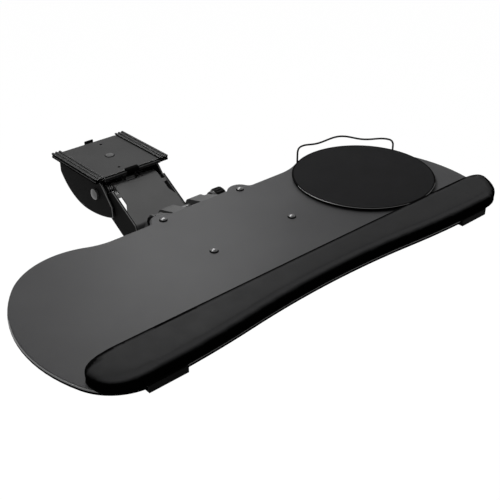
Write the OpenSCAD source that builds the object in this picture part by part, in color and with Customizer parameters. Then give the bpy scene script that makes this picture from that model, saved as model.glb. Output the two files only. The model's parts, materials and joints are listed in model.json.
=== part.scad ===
// Keyboard tray that hangs under a desk on a swivelling, height-adjusting arm.
// The origin is on the swivel axis, level with the tops of the trolley's glides,
// which run in a track under the desk. +X is the user's right, +Y goes under the
// desk and +Z is up. All sizes are in millimetres, with the tray as it is used.

/* [Board] */
// Width of the board over its two lobes
board_w = 690; // [670:2:740]
// Thickness of the board
board_t = 6.4; // [5:0.2:9]
// Distance from the rear screws to the front corners of the board
board_front = 261; // [252:1:285]
// Depth of the hollow along the board's front edge
front_hollow = 14; // [6:1:22]
// Radius of the two rear lobes
lobe_r = 100; // [90:1:108]
// Distance from the board's side to a lobe's centre
lobe_inset = 123; // [116:1:135]
// How far the lobes reach behind the rear screws
lobe_rise = 18; // [14:1:26]
// Distance from the rear screws to the widest point
side_back = 145; // [140:1:156]
// Radius of the front corners
corner_r = 68; // [55:1:78]
// Radius of the ears round the rear screws
ear_r = 18.4; // [15:0.2:22]
// Radius of the fillet beside each ear
ear_fillet = 8; // [4:0.5:10]
// How far the edge beside the ears reaches behind the rear screws
valley_rise = 1.7; // [0.5:0.1:4]
// How far the edge between the ears reaches behind the rear screws
notch_rise = 10; // [6:0.5:12]
// Radius that blends the edge beside the ears into a lobe
blend_r = 85; // [60:1:95]

/* [Board screws] */
// Spacing of the board screws from side to side
screw_dx = 133.6; // [125:0.2:145]
// Spacing of the board screws from front to rear
screw_dy = 105.7; // [95:0.1:120]
// Radius of a board screw's shank
screw_r = 3; // [2:0.1:3.5]
// Clearance round a screw's shank
screw_gap = 0.2; // [0.1:0.05:0.4]
// Radius of a screw's domed head
screw_head_r = 6; // [5:0.1:7]
// Height of a screw's domed head
screw_head_h = 3.2; // [2:0.1:4]
// Radius of a screw's nut, over its corners
nut_r = 6; // [5:0.1:7]
// Height of a screw's nut
nut_h = 4; // [3:0.1:6]

/* [Palm rest] */
// Height of the palm rest over the board
palm_h = 19; // [15:0.5:24]
// Thickness of the palm rest's base
palm_base_t = 2.5; // [2:0.1:4]
// Depth of the palm rest at the middle
palm_depth = 50; // [46:1:60]
// How far the rear edge bows towards the user at the ends
palm_bow = 0.6; // [0.2:0.1:6]
// Distance from the board's side to the palm rest's end
palm_inset = 20; // [16:1:40]
// Length of the rounded ends
palm_end = 50; // [35:1:60]
// Radius of the top edges of the pad
palm_round = 5; // [4:0.5:9]
// Rise of the pad's crown
palm_crown = 1; // [0.5:0.1:3]
// How far the pad's foot is drawn in
palm_tuck = 1.2; // [0.5:0.1:2]
// How far the palm rest overhangs the board's front edge
palm_over = 2.5; // [2:0.1:4]

/* [Palm rest clips] */
// Width of a clip
clip_w = 50; // [30:1:60]
// Distance from the board's side to the middle of a clip
clip_inset = 91; // [85:1:110]
// How far a clip reaches under the board
clip_reach = 30; // [24:1:40]
// Thickness of a clip's foot under the board
clip_t = 2.2; // [1.8:0.1:6]
// Radius of a clip screw's head
clip_screw_r = 4.5; // [3:0.1:6]
// Height of a clip screw's head
clip_screw_h = 2.6; // [2:0.1:4]

/* [Mouse disc] */
// Radius of the mouse mat
mat_r = 103; // [90:0.5:104]
// Thickness of the mouse mat
mat_t = 2.2; // [1.5:0.1:4]
// Thickness of the disc under the mat
disc_t = 2.8; // [2:0.1:5]
// How far the disc is set in under the mat
disc_undercut = 5; // [2:0.5:12]
// Place of the disc to the right of the lobe's centre
disc_dx = 3; // [2:0.1:4]
// Place of the disc in front of the lobe's centre
disc_dy = 7; // [6:0.1:9]

/* [Mouse guard] */
// Radius of the guard's wire
wire_r = 1.4; // [1.2:0.1:2]
// Clearance between the board's edge and the wire
guard_gap = 0.8; // [0.5:0.1:2]
// Height of the wire's crests over the board
crest_h = 18; // [15:0.5:24]
// Depth of the dips between the crests
dip_h = 5.5; // [2:0.5:7]
// Angle between two crests, seen from above
crest_step = 40; // [34:1:42]
// Radius of the bends at the wire's feet
foot_bend = 5; // [4:0.5:6]
// Length of the wire's feet under the board
foot_l = 26; // [20:1:34]
// Width of the saddles that hold the feet
saddle_w = 8; // [6:0.5:12]
// Thickness of a saddle
saddle_t = 2; // [1.5:0.1:3]

/* [Trolley] */
// Length of the trolley plate
trolley_l = 117; // [110:1:124]
// Width of the trolley plate, under the glides
trolley_w = 118; // [114:1:122]
// Thickness of the trolley plate
plate_t = 2.5; // [2:0.1:3]
// Depth of the plate below the tops of the glides
plate_drop = 2.6; // [2.4:0.1:3.5]
// Width of a glide
glide_w = 15.2; // [13:0.1:18]
// Height of a glide
glide_h = 8; // [7.4:0.1:9]
// How far a glide covers the plate's edge
glide_cover = 8.7; // [6:0.1:9]
// How much longer a glide is than the plate
glide_extra = 6; // [4:0.5:9]
// Width of the round bar along each folded lip
lip_bar = 2.6; // [2:0.1:3.2]
// Width of the groove between the plate and its lip
lip_gap = 1.8; // [1.2:0.1:2.4]
// Width of the catch at the front
catch_w = 22; // [14:1:30]
// Width of the bumper at the rear
bumper_w = 14; // [8:1:24]
// Radius of the small holes in the plate
plate_hole_r = 2; // [1.5:0.1:3]

/* [Swivel] */
// Radius of the swivel rivet
rivet_r = 5.5; // [4:0.1:6.5]
// Radius of the rivet's upper dome
rivet_head_r = 7.8; // [7:0.1:10]
// Height of the rivet's upper dome
rivet_head_h = 2.3; // [1.5:0.1:2.3]
// Radius of the nylon swivel washer
washer_r = 32; // [20:1:45]
// Thickness of the swivel plate
swivel_t = 3; // [2.5:0.1:4]
// Thickness of the web that ties the cheeks together
web_t = 3; // [2:0.1:4]
// Height of that web below the swivel plate
web_h = 34; // [24:1:38]
// Gap between the glides and the swivel plate
swivel_gap = 0.6; // [0.4:0.1:1.2]
// Radial clearance of shafts that turn
run_gap = 0.05; // [0.02:0.01:0.08]

/* [Cheeks] */
// Width over the outsides of the cheeks
cheek_w = 106; // [106:0.5:112]
// Thickness of the cheeks
cheek_t = 3; // [2:0.1:3]
// Radius of the cheeks' round rear edge
cheek_r = 84; // [78:1:88]
// Depth of the cheeks below the tops of the glides
cheek_deep = 74; // [69:1:80]
// Distance from the swivel axis to the cheeks' rear edge
cheek_back = 63; // [57:1:67]
// Distance from the swivel axis to the cheeks' front tips
cheek_fwd = 80; // [74:1:84]

/* [Arm] */
// Distance from the arm's rear pivot to its front pivot
arm_len = 95; // [90:1:115]
// Angle by which the arm slopes down
arm_drop = 32; // [28:1:36]
// Distance of the rear pivot in front of the swivel axis
pivot_fwd = 38; // [36:1:44]
// Depth of the rear pivot below the tops of the glides
pivot_drop = 36; // [35:0.5:40]
// Width over the outsides of the arm's sides
arm_w = 95.6; // [92:0.2:96]
// Width of the cover at its rear end
cover_rear_w = 76; // [70:1:80]
// Height of the cover's top over the line of the pivots
cover_rise = 32.6; // [31:0.2:34]
// Thickness of the arm's cover
cover_t = 2.5; // [2:0.1:3]
// Distance from the rear pivot to the cover's rear edge
cover_start = 20; // [20:0.5:26]
// Radius of the rolled rear edge of the cover
rear_roll_r = 16; // [10:0.5:18]
// Distance from the rear pivot to the tabs beside the cover
cover_tab = 30; // [26:1:34]
// Distance from the rear pivot to where the cover widens
cover_slot = 50; // [44:1:56]
// Radius of the rolled front edge of the cover
roll_r = 8; // [5:0.5:9]
// Thickness of the arm's sides
side_t = 3.6; // [2:0.1:4]
// How far the rails along the sides stand over the cover
rail_h = 0.8; // [0.4:0.1:1.4]
// Radius of the round ends of the arm's sides
side_end_r = 12; // [11:0.5:14]
// Radius of the pivot rods
rod_r = 6; // [4:0.1:6.5]
// Radius of the arm's pivot tubes
tube_r = 9; // [8.5:0.1:9.5]
// Radius of the friction washers
friction_r = 14; // [11:0.5:16]
// Radius of the domed rod caps
cap_r = 8.6; // [8:0.1:10]
// Height of the domed rod caps
cap_h = 3; // [2:0.1:5]
// Height of the straight part of the rod caps
cap_stem = 3.5; // [2:0.1:5]

/* [Level link] */
// How far the link's pins lie in front of the arm's pivots
link_fwd = 10; // [9:0.5:11]
// How far the link's pins lie above the arm's pivots
link_up = 13; // [12.5:0.5:14]
// Radius of the link's eyes
link_eye_r = 6.5; // [6:0.1:6.8]
// Height of the link's bar
link_bar_h = 8; // [6:0.5:9]
// Width of the link
link_w = 16; // [12:0.5:20]
// Radius of the link's pins
pin_r = 4; // [3:0.1:4.5]
// Thickness of the lugs beside the link
lug_t = 3; // [2:0.1:3]
// Side clearance between the link and its lugs
link_gap = 0.5; // [0.3:0.1:0.8]

/* [Lift springs] */
// Radius of the springs' wire
spring_wire_r = 1.2; // [0.9:0.1:1.3]
// Clearance between the springs and the arm's tube
spring_clear = 1.4; // [1:0.1:1.8]
// Gap between the turns of a spring
spring_gap = 0.8; // [0.7:0.1:1]
// Full turns of each spring
spring_turns = 7; // [5:1:7]

/* [Head] */
// Distance of the tilt axis in front of the arm's front pivot
head_reach = 66; // [60:1:76]
// Height of the tilt axis over the arm's front pivot
head_rise = 63; // [58:1:68]
// Radius of the round ends of the risers
riser_r = 13; // [12:0.5:14]
// Thickness of the risers
riser_t = 3; // [2:0.1:4]
// Radius of the head's cross bar
bar_r = 5; // [4:0.1:5.5]
// Radius of the tilt bracket's inner knuckles
knuckle_r = 12.5; // [10:0.5:13]
// Radius of the tilt bracket's outer knuckles
knuckle_out_r = 9; // [8:0.5:12]
// Width of an inner knuckle
knuckle_in_w = 22; // [14:1:22]
// Width of an outer knuckle
knuckle_w = 12; // [8:0.5:13]
// Distance from the middle to the inner knuckles
knuckle_in = 24; // [20:1:24]
// Distance from the middle to the outer knuckles
knuckle_out = 42; // [41.5:0.5:43]
// Distance from the tilt axis to the rear board screws
tilt_to_screws = 45; // [42:1:55]
// Height of the board's underside over the tilt axis
tilt_to_board = 21; // [19:0.5:24]
// Thickness of the tilt bracket's plate
bracket_t = 2.5; // [2:0.1:4]
// Margin of the bracket's plate round the screws
bracket_margin = 12; // [9:0.5:14]

/* [Tilt knob] */
// Radius of the tilt knob
knob_r = 13.5; // [12:0.5:20]
// Length of the tilt knob
knob_l = 17; // [12:0.5:24]
// Radius of the grooves round the knob
knob_groove_r = 1.8; // [1.2:0.1:2.4]
// Thickness of the washer behind the knob
knob_washer_t = 2; // [1.5:0.1:3]

/* [Hidden] */
$fn = 64;
eps = 0.01;

// Colours as they show on the product
steel_black = [0.17, 0.17, 0.18];
steel_grey = [0.27, 0.27, 0.28];
board_grey = [0.3, 0.3, 0.31];
pad_black = [0.19, 0.19, 0.2];
mat_black = [0.13, 0.13, 0.14];
nylon_black = [0.2, 0.2, 0.2];
zinc = [0.72, 0.72, 0.74];

// Heights of the trolley and the swivel
plate_top = -plate_drop;
plate_bottom = plate_top - plate_t;
swivel_top = -glide_h - swivel_gap;
swivel_bottom = swivel_top - swivel_t;

// Places of the pivots, as [y, z]
arm_rear = [-pivot_fwd, -pivot_drop];
arm_front = arm_rear - arm_len * [cos(arm_drop), sin(arm_drop)];
link_off = [-link_fwd, link_up];
link_rear = arm_rear + link_off;
link_front = arm_front + link_off;
tilt_axis = arm_front + [-head_reach, head_rise];
bar_at = arm_front + [-22, 2];
riser_knee = arm_front + [-37, 10];

// Widths across the arm, measured from the middle
side_out = arm_w / 2;
side_in = side_out - side_t;
cheek_out = cheek_w / 2;
cheek_in = cheek_out - cheek_t;
riser_in = side_out + 2.5;
riser_out = riser_in + riser_t;
lug_in = link_w / 2 + link_gap;
lug_out = lug_in + lug_t;

// Place of the board
screw_y = tilt_axis[0] - tilt_to_screws;
board_bottom = tilt_axis[1] + tilt_to_board;
board_top = board_bottom + board_t;
ear_x = screw_dx / 2;
small_screw_r = 1.4;
screw_bite = 4;
screw_places = [for (x = [-ear_x, ear_x], y = [0, -screw_dy]) [x, y]];

// Centres and angles of the board's outline, seen from above the rear screws
half_w = board_w / 2;
lobe_c = [half_w - lobe_inset, lobe_rise - lobe_r];
side_drop = lobe_c[1] + side_back;
side_r = (lobe_inset * lobe_inset + side_drop * side_drop - lobe_r * lobe_r) / (2 * (lobe_inset - lobe_r));
side_c = [half_w - side_r, -side_back];
side_a = atan2(lobe_c[1] - side_c[1], lobe_c[0] - side_c[0]);
corner_y = corner_r - board_front;
corner_a = asin((corner_y - side_c[1]) / (side_r - corner_r));
corner_c = [side_c[0] + (side_r - corner_r) * cos(corner_a), corner_y];
front_run = corner_c[0];
front_r = (front_run * front_run + front_hollow * front_hollow) / (4 * front_hollow);
ear_reach = ear_r + ear_fillet;
fillet_y = valley_rise + ear_fillet;
ear_a = asin(fillet_y / ear_reach);
fillet_c = [ear_x + ear_reach * cos(ear_a), fillet_y];
blend_y = valley_rise + blend_r;
blend_a = asin((blend_y - lobe_c[1]) / (blend_r + lobe_r));
blend_c = [lobe_c[0] - (blend_r + lobe_r) * cos(blend_a), blend_y];
notch_a = 180 - asin(notch_rise / ear_r);

// Points along an arc, seen from its centre
function arc(c, r, a0, a1, n, first = 0) =
    [for (i = [first : n]) let (a = a0 + (a1 - a0) * i / n) c + r * [cos(a), sin(a)]];

// Front edge of the board: a hollow arc that turns into a round one
function front_edge(x) =
    let (d = min(abs(x), front_run))
    d < front_run / 2
        ? front_hollow - board_front - front_r + sqrt(front_r * front_r - d * d)
        : front_r - board_front - sqrt(front_r * front_r - (front_run - d) * (front_run - d));

function mirrored(half) =
    concat(half, [for (i = [len(half) - 2 : -1 : 1]) [-half[i][0], half[i][1]]]);

board_half = concat(
    [[0, notch_rise]],
    arc([ear_x, 0], ear_r, notch_a, ear_a, 14),
    arc(fillet_c, ear_fillet, 180 + ear_a, 270, 5, 1),
    arc(blend_c, blend_r, -90, -blend_a, 8),
    arc(lobe_c, lobe_r, 180 - blend_a, side_a, 24, 1),
    arc(side_c, side_r, side_a, corner_a, 18, 1),
    arc(corner_c, corner_r, corner_a, -90, 18, 1),
    [for (i = [1 : 16]) let (x = front_run * (1 - i / 16)) [x, front_edge(x)]]
);

// Places of the palm rest and its clips
palm_x = half_w - palm_inset - palm_end;
palm_front = palm_over;
palm_end_front = front_edge(palm_x) - palm_over;
palm_rear = front_hollow - board_front + palm_depth - palm_over;
palm_end_mid = palm_rear - palm_bow - (palm_rear - palm_bow - palm_end_front) * 0.36;
clip_x = half_w - clip_inset;
clip_screw_y = screw_y - board_front + 0.6 * clip_reach;
clip_shank_r = 2;

// Places of the mouse disc and its guard
disc_c = lobe_c + [disc_dx, -disc_dy];
guard_c = lobe_c + lobe_r * [0.017, -0.037];
guard_mid = 60.4;
guard_ends = [guard_mid + 44.4, guard_mid - 45];
// Distance from a place to a circle, in a given direction
function reach(c, r, from, a) =
    let (o = from - c, b = o * [cos(a), sin(a)]) sqrt(b * b - o * o + r * r) - b;
lobe_reach = reach(lobe_c, lobe_r, guard_c, guard_ends[0]);
side_reach = reach(side_c, side_r, guard_c, guard_ends[1]);
guard_r = max(lobe_reach, side_reach) + wire_r + guard_gap;

// A plate with the outline of its children in Y and Z, from x0 to x1
module plate_x(x0, x1) {
    translate([x0, 0, 0]) rotate([90, 0, 90]) linear_extrude(x1 - x0) children();
}

// A rod along X through a place given as [y, z]
module rod_x(at, r, x0, x1) {
    translate([x0, at[0], at[1]]) rotate([0, 90, 0]) cylinder(r = r, h = x1 - x0);
}

// A tube along X
module tube_x(at, r, bore, x0, x1) {
    difference() {
        rod_x(at, r, x0, x1);
        rod_x(at, bore, x0 - 1, x1 + 1);
    }
}

// A domed cap along +Z, from the flat of a sphere
module dome(r, h) {
    ball_r = (r * r + h * h) / (2 * h);
    intersection() {
        translate([0, 0, h - ball_r]) sphere(r = ball_r, $fn = 96);
        cylinder(r = r + 1, h = h + 1);
    }
}

// A domed cap on the end of a rod along X, facing outwards
module cap_x(at, x) {
    translate([x, at[0], at[1]]) rotate([0, x > 0 ? 90 : -90, 0]) union() {
        cylinder(r = cap_r, h = cap_stem + eps);
        translate([0, 0, cap_stem]) dome(cap_r, cap_h);
    }
}

// A straight bar with round ends between two places, as an outline
module bar_outline(a, b, r) {
    d = (b - a) / norm(b - a);
    n = r * [-d[1], d[0]];
    translate(a) circle(r = r);
    translate(b) circle(r = r);
    polygon([a + n, a - n, b - n, b + n]);
}

// The arm's own frame: the rear pivot is its origin and the arm runs level along -Y
module arm_frame() {
    translate([0, arm_rear[0], arm_rear[1]]) rotate([arm_drop, 0, 0]) children();
}

// A tube of one radius along a list of points, closed at both ends
function tangent(p, i) =
    let (a = p[max(i - 1, 0)], b = p[min(i + 1, len(p) - 1)]) (b - a) / norm(b - a);
function ring(p, i, r, n, aside) =
    let (t = tangent(p, i), u0 = cross(aside, t), u = u0 / norm(u0), v = cross(t, u))
    [for (k = [0 : n - 1]) p[i] + r * (cos(360 * k / n) * u + sin(360 * k / n) * v)];
module swept_tube(p, r, n, aside) {
    count = len(p);
    points = concat(
        [for (i = [0 : count - 1], q = ring(p, i, r, n, aside)) q],
        [p[0], p[count - 1]]
    );
    sides = [
        for (i = [0 : count - 2], k = [0 : n - 1])
            let (a = i * n + k, b = i * n + (k + 1) % n)
            each [[a, b, b + n], [a, b + n, a + n]]
    ];
    last = (count - 1) * n;
    ends = [
        for (k = [0 : n - 1])
            each [[count * n, (k + 1) % n, k], [count * n + 1, last + k, last + (k + 1) % n]]
    ];
    polyhedron(points, [for (f = concat(sides, ends)) [f[2], f[1], f[0]]]);
}

// Trolley: the plate, its glides and the swivel rivet

// Section of a folded lip: a fold under the plate's edge, a groove and a round bar
lip_fold = 1.8;
lip_out = lip_gap + lip_bar;
lip_deep = glide_h + plate_bottom;
lip_flat = plate_t / 2 - lip_bar / 2;
module lip_section() {
    translate([-lip_fold, -lip_deep]) square([lip_fold, lip_deep + eps]);
    translate([-lip_fold, -lip_deep]) square([lip_fold + lip_out, lip_deep / 2]);
    translate([lip_gap, -lip_deep]) square([lip_bar, lip_deep + lip_flat]);
    translate([lip_gap + lip_bar / 2, lip_flat]) circle(d = lip_bar);
}

module trolley_plate() {
    lip_w = trolley_w - 2 * glide_cover - 0.6;
    color(steel_grey) difference() {
        union() {
            translate([-trolley_w / 2, -trolley_l / 2, plate_bottom]) cube([trolley_w, trolley_l, plate_t]);
            for (side = [0, 1])
                mirror([0, side, 0]) translate([-lip_w / 2, trolley_l / 2, plate_bottom])
                    plate_x(0, lip_w) lip_section();
        }
        translate([0, 0, plate_bottom - 1]) cylinder(r = rivet_r + run_gap, h = plate_t + 2);
        for (side = [-1, 1])
            translate([side * 12.2, side * 43.5, plate_bottom - 1]) cylinder(r = plate_hole_r, h = plate_t + 2);
        translate([-catch_w / 2, -trolley_l / 2 - lip_out - 1, plate_bottom - lip_deep - 1])
            cube([catch_w, catch_bite + lip_out + 1, lip_deep + plate_t + 2]);
    }
}

// Section of a glide: it wraps the plate's edge and has two ribs on its top
module glide_section() {
    inner = trolley_w / 2 - glide_cover;
    outer = inner + glide_w;
    rib = glide_w / 5;
    difference() {
        translate([inner, -glide_h]) square([glide_w, glide_h]);
        translate([inner - 1, plate_bottom]) square([glide_cover + 1, plate_t]);
        for (k = [1, 3])
            translate([inner + k * rib, -0.6 * plate_drop]) square([rib, plate_drop]);
        translate([outer, -glide_h / 2]) rotate(45) square(1.6, center = true);
    }
}

module glide(side) {
    glide_l = trolley_l + glide_extra;
    color(nylon_black) mirror([side < 0 ? 1 : 0, 0, 0])
        translate([0, glide_l / 2, 0]) rotate([90, 0, 0]) linear_extrude(glide_l) glide_section();
}

module glide_left() { glide(-1); }
module glide_right() { glide(1); }

// Spring catch that sits in the front lip's notch
catch_bite = 3;
module front_catch() {
    front = -catch_bite - lip_out - 1;
    color(nylon_black) translate([-catch_w / 2, -trolley_l / 2 + catch_bite, plate_bottom]) plate_x(0, catch_w)
        polygon([
            [0, -lip_deep], [0, plate_t + 0.4], [-0.9, plate_t + 1.8], [-3.4, plate_t + 2.1], [-6.2, plate_t + 0.9],
            [front, -0.4], [front, -lip_deep]
        ]);
}

// Rubber bumper on the rear lip
module rear_bumper() {
    color(nylon_black) translate([3.5 - bumper_w / 2, trolley_l / 2 + lip_out, plate_bottom]) plate_x(0, bumper_w)
        polygon([
            [0, -lip_deep], [3.4, 0.4 - lip_deep], [4.6, 2 - lip_deep], [4.6, 2.6], [3.4, 4.4], [1.8, 5],
            [0.5, 4.4], [0.5, lip_flat], [0, lip_flat]
        ]);
}

module swivel_washer() {
    color(nylon_black) difference() {
        translate([0, 0, swivel_top]) cylinder(r = washer_r, h = plate_bottom - swivel_top);
        translate([0, 0, swivel_top - 1]) cylinder(r = rivet_r + run_gap, h = plate_bottom - swivel_top + 2);
    }
}

// Rivet with a low dome above the plate and a formed head below the washer
module swivel_rivet() {
    tail_top = swivel_bottom - 2;
    color(zinc) union() {
        translate([0, 0, plate_top]) dome(rivet_head_r, rivet_head_h);
        translate([0, 0, tail_top - eps]) cylinder(r = rivet_r, h = plate_top - tail_top + 2 * eps);
        translate([0, 0, tail_top]) mirror([0, 0, 1]) dome(rivet_head_r, rivet_head_h);
    }
}

module rivet_washer() {
    color(zinc) difference() {
        translate([0, 0, swivel_bottom - 2]) cylinder(r = rivet_head_r + 4, h = 2);
        translate([0, 0, swivel_bottom - 3]) cylinder(r = rivet_r + run_gap, h = 4);
    }
}

// Yoke: the plate that swivels, its cheeks, the rear pivot and the springs

// Plate that turns under the trolley, with a web down behind the rear pivot that ties the cheeks together
module swivel_plate() {
    web_y = arm_rear[0] + max(spring_r + spring_wire_r, friction_r, side_end_r) + 2.5;
    color(steel_black) union() {
        difference() {
            translate([-cheek_in, 8 - pivot_fwd - 16, swivel_bottom])
                cube([2 * cheek_in, cheek_back + pivot_fwd + 8, swivel_t]);
            translate([0, 0, swivel_bottom - 1]) cylinder(r = rivet_r + run_gap, h = swivel_t + 2);
        }
        translate([-cheek_in, web_y, swivel_bottom - web_h]) cube([2 * cheek_in, web_t, web_h + eps]);
    }
}

// Quarter-moon outline of a cheek, in Y and Z
function bezier(p, n) = [
    for (i = [1 : n])
        let (t = i / n, u = 1 - t)
        u * u * u * p[0] + 3 * u * u * t * p[1] + 3 * u * t * t * p[2] + t * t * t * p[3]
];
module cheek_outline() {
    c = [-8, cheek_r - cheek_deep];
    a0 = -acos((cheek_back - c[0]) / cheek_r);
    low = [c[0], -cheek_deep];
    tip = [-cheek_fwd, arm_rear[1] - 22];
    polygon(concat(
        [[tip[0] + 23, arm_rear[1] + 19], [tip[0] + 32, swivel_top], [cheek_back, swivel_top]],
        arc(c, cheek_r, a0, -90, 20),
        bezier([low, low - [26, 0], tip + [24, -11], tip + [5, -4.8]], 8),
        bezier([tip + [5, -4.8], tip + [1, -4], tip + [-0.6, -1], tip + [0, 3]], 4),
        [tip + [0.6, 14]]
    ));
}

module cheek(side) {
    color(steel_black) difference() {
        plate_x(side > 0 ? cheek_in : -cheek_out, side > 0 ? cheek_out : -cheek_in) cheek_outline();
        rod_x(arm_rear, rod_r + run_gap, -cheek_out - 1, cheek_out + 1);
    }
}

module cheek_left() { cheek(-1); }
module cheek_right() { cheek(1); }

// Two lugs under the swivel plate that hold the link's rear pin
module yoke_lugs() {
    lug_r = link_eye_r;
    color(steel_black) for (side = [-1, 1]) difference() {
        plate_x(side > 0 ? lug_in : -lug_out, side > 0 ? lug_out : -lug_in) {
            translate(link_rear) circle(r = lug_r);
            translate([link_rear[0] - lug_r, link_rear[1]])
                square([2 * lug_r, swivel_bottom - link_rear[1]]);
        }
        rod_x(link_rear, pin_r + run_gap, -lug_out - 1, lug_out + 1);
    }
}

module rear_pivot_rod() {
    color(zinc) rod_x(arm_rear, rod_r, -cheek_out, cheek_out);
}

module rear_pivot_caps() {
    color(zinc) for (side = [-1, 1]) cap_x(arm_rear, side * cheek_out);
}

module friction_washers() {
    color(nylon_black) {
        tube_x(arm_rear, friction_r, rod_r + run_gap, side_out, cheek_in);
        tube_x(arm_rear, friction_r, rod_r + run_gap, -cheek_in, -side_out);
    }
}

module link_pin(at) {
    color(zinc) union() {
        rod_x(at, pin_r, -lug_out - 1.5, lug_out + 1.5);
        for (x = [-lug_out - 1.5, lug_out]) rod_x(at, pin_r + 1.5, x, x + 1.5);
    }
}

module link_rear_pin() { link_pin(link_rear); }

// Torsion spring round the arm's rear tube, from a leg under the swivel plate
spring_r = tube_r + spring_clear + spring_wire_r;
spring_pitch = 2 * spring_wire_r + spring_gap;
spring_start = lug_out + 3.5;
spring_leg = swivel_bottom - spring_wire_r - 0.3 - arm_rear[1];
spring_steps = 8 * spring_turns + 4;
spring_path = concat(
    [
        [spring_start, arm_rear[0] + spring_r, arm_rear[1] + spring_leg],
        [spring_start, arm_rear[0] + spring_r, arm_rear[1] + 2 * spring_wire_r]
    ],
    [
        for (i = [0 : spring_steps])
            let (a = -45 * i)
            [
                spring_start + spring_pitch * i / 8,
                arm_rear[0] + spring_r * cos(a),
                arm_rear[1] + spring_r * sin(a)
            ]
    ],
    [
        [
            spring_start + spring_pitch * spring_steps / 8,
            arm_rear[0] - spring_r,
            arm_rear[1] + 4 * spring_wire_r
        ]
    ]
);
spring_least = min([
    for (i = [2 : len(spring_path) - 7], j = [i + 5 : min(i + 11, len(spring_path) - 2)])
        norm(spring_path[i] - spring_path[j])
]) - 2 * spring_wire_r;
echo(str("least gap between the turns of a lift spring: ", spring_least, " mm"));

module spring_right() { color(zinc) swept_tube(spring_path, spring_wire_r, 6, [1, 0, 0]); }
module spring_left() { mirror([1, 0, 0]) spring_right(); }

// Arm: a cover, two sides and two pivot tubes

// Side view of the cover, level, with its front and rear edges rolled down
module quarter_roll(at, r, side) {
    translate(at) intersection() {
        difference() {
            circle(r = r);
            circle(r = r - cover_t);
        }
        translate([side < 0 ? -r : 0, 0]) square(r);
    }
}
module cover_section() {
    front = roll_r - arm_len + 1;
    translate([front, cover_rise - cover_t]) square([-cover_start - front, cover_t]);
    quarter_roll([front, cover_rise - roll_r], roll_r, -1);
    difference() {
        quarter_roll([-cover_start, cover_rise - rear_roll_r], rear_roll_r, 1);
        translate([-cover_start, cover_rise - rear_roll_r]) rotate(-60) square(2 * rear_roll_r);
    }
}

module arm_cover() {
    rear = cover_rear_w / 2;
    wide = side_in;
    // Notch that lets the lugs of the yoke pass
    way = lug_out + 3;
    way_y = rear_roll_r / 3 - cover_start;
    color(steel_grey) arm_frame() intersection() {
        plate_x(-wide, wide) cover_section();
        linear_extrude(cover_rise + 1)
            polygon(mirrored([
                [0, way_y], [way, way_y], [way, 0], [rear, 0], [rear, -cover_tab], [wide, -cover_tab],
                [wide, -cover_tab - 6], [rear, -cover_tab - 6], [rear, -cover_slot], [wide, -cover_slot - 12],
                [wide, -arm_len], [0, -arm_len]
            ]));
    }
}

// Side view of one side of the arm, level
module side_outline() {
    top = cover_rise + rail_h;
    front = roll_r - arm_len + 1;
    r = side_end_r;
    polygon(concat(
        arc([0, 0], r, -90, 150, 24),
        [[-cover_start - 3, top]],
        arc([front, cover_rise - roll_r], roll_r + rail_h, 90, 180, 8),
        arc([-arm_len, 0], r, 110, 270, 16)
    ));
}

module arm_side(side) {
    color(steel_black) arm_frame() difference() {
        plate_x(side > 0 ? side_in : -side_out, side > 0 ? side_out : -side_in) side_outline();
        for (y = [0, -arm_len]) rod_x([y, 0], rod_r + run_gap, -side_out - 1, side_out + 1);
    }
}

module arm_side_left() { arm_side(-1); }
module arm_side_right() { arm_side(1); }

module arm_rear_tube() { color(steel_black) tube_x(arm_rear, tube_r, rod_r + run_gap, -side_in, side_in); }
module arm_front_tube() { color(steel_black) tube_x(arm_front, tube_r, rod_r + run_gap, -side_in, side_in); }

// Link that keeps the head level as the arm rises
module level_link() {
    color(zinc) difference() {
        plate_x(-link_w / 2, link_w / 2) {
            bar_outline(link_rear, link_front, link_bar_h / 2);
            for (at = [link_rear, link_front]) translate(at) circle(r = link_eye_r);
        }
        for (at = [link_rear, link_front]) rod_x(at, pin_r + run_gap, -link_w, link_w);
    }
}

// Head: two risers from the arm's front pivot to the tilt axis

module riser_outline() {
    bar_outline(arm_front, riser_knee, riser_r);
    bar_outline(riser_knee, tilt_axis, riser_r - 2);
}

module riser(side) {
    color(steel_black) difference() {
        plate_x(side > 0 ? riser_in : -riser_out, side > 0 ? riser_out : -riser_in) riser_outline();
        for (at = [arm_front, tilt_axis]) rod_x(at, rod_r + run_gap, -riser_out - 1, riser_out + 1);
    }
}

module riser_left() { riser(-1); }
module riser_right() { riser(1); }

module front_pivot_rod() {
    color(zinc) rod_x(arm_front, rod_r, -riser_out, riser_out);
}

module front_pivot_caps() {
    color(zinc) for (side = [-1, 1]) cap_x(arm_front, side * riser_out);
}

module front_washers() {
    color(nylon_black) {
        tube_x(arm_front, side_end_r, rod_r + run_gap, side_out, riser_in);
        tube_x(arm_front, side_end_r, rod_r + run_gap, -riser_in, -side_out);
    }
}

module head_cross_bar() {
    color(steel_black) rod_x(bar_at, bar_r, -riser_in, riser_in);
}

// Two lugs on the cross bar that hold the link's front pin
module head_lugs() {
    color(steel_black) for (side = [-1, 1]) difference() {
        plate_x(side > 0 ? lug_in : -lug_out, side > 0 ? lug_out : -lug_in) {
            bar_outline(link_front, bar_at, link_eye_r - 2);
            translate(link_front) circle(r = link_eye_r);
            translate(bar_at) circle(r = bar_r + 2.5);
        }
        rod_x(link_front, pin_r + run_gap, -lug_out - 1, lug_out + 1);
        rod_x(bar_at, bar_r + run_gap, -lug_out - 1, lug_out + 1);
    }
}

module link_front_pin() { link_pin(link_front); }

module tilt_rod() {
    color(zinc) rod_x(tilt_axis, rod_r, -riser_out, riser_out + knob_washer_t + 0.6 * knob_l);
}

module tilt_rod_cap() { color(zinc) cap_x(tilt_axis, -riser_out); }

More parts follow.
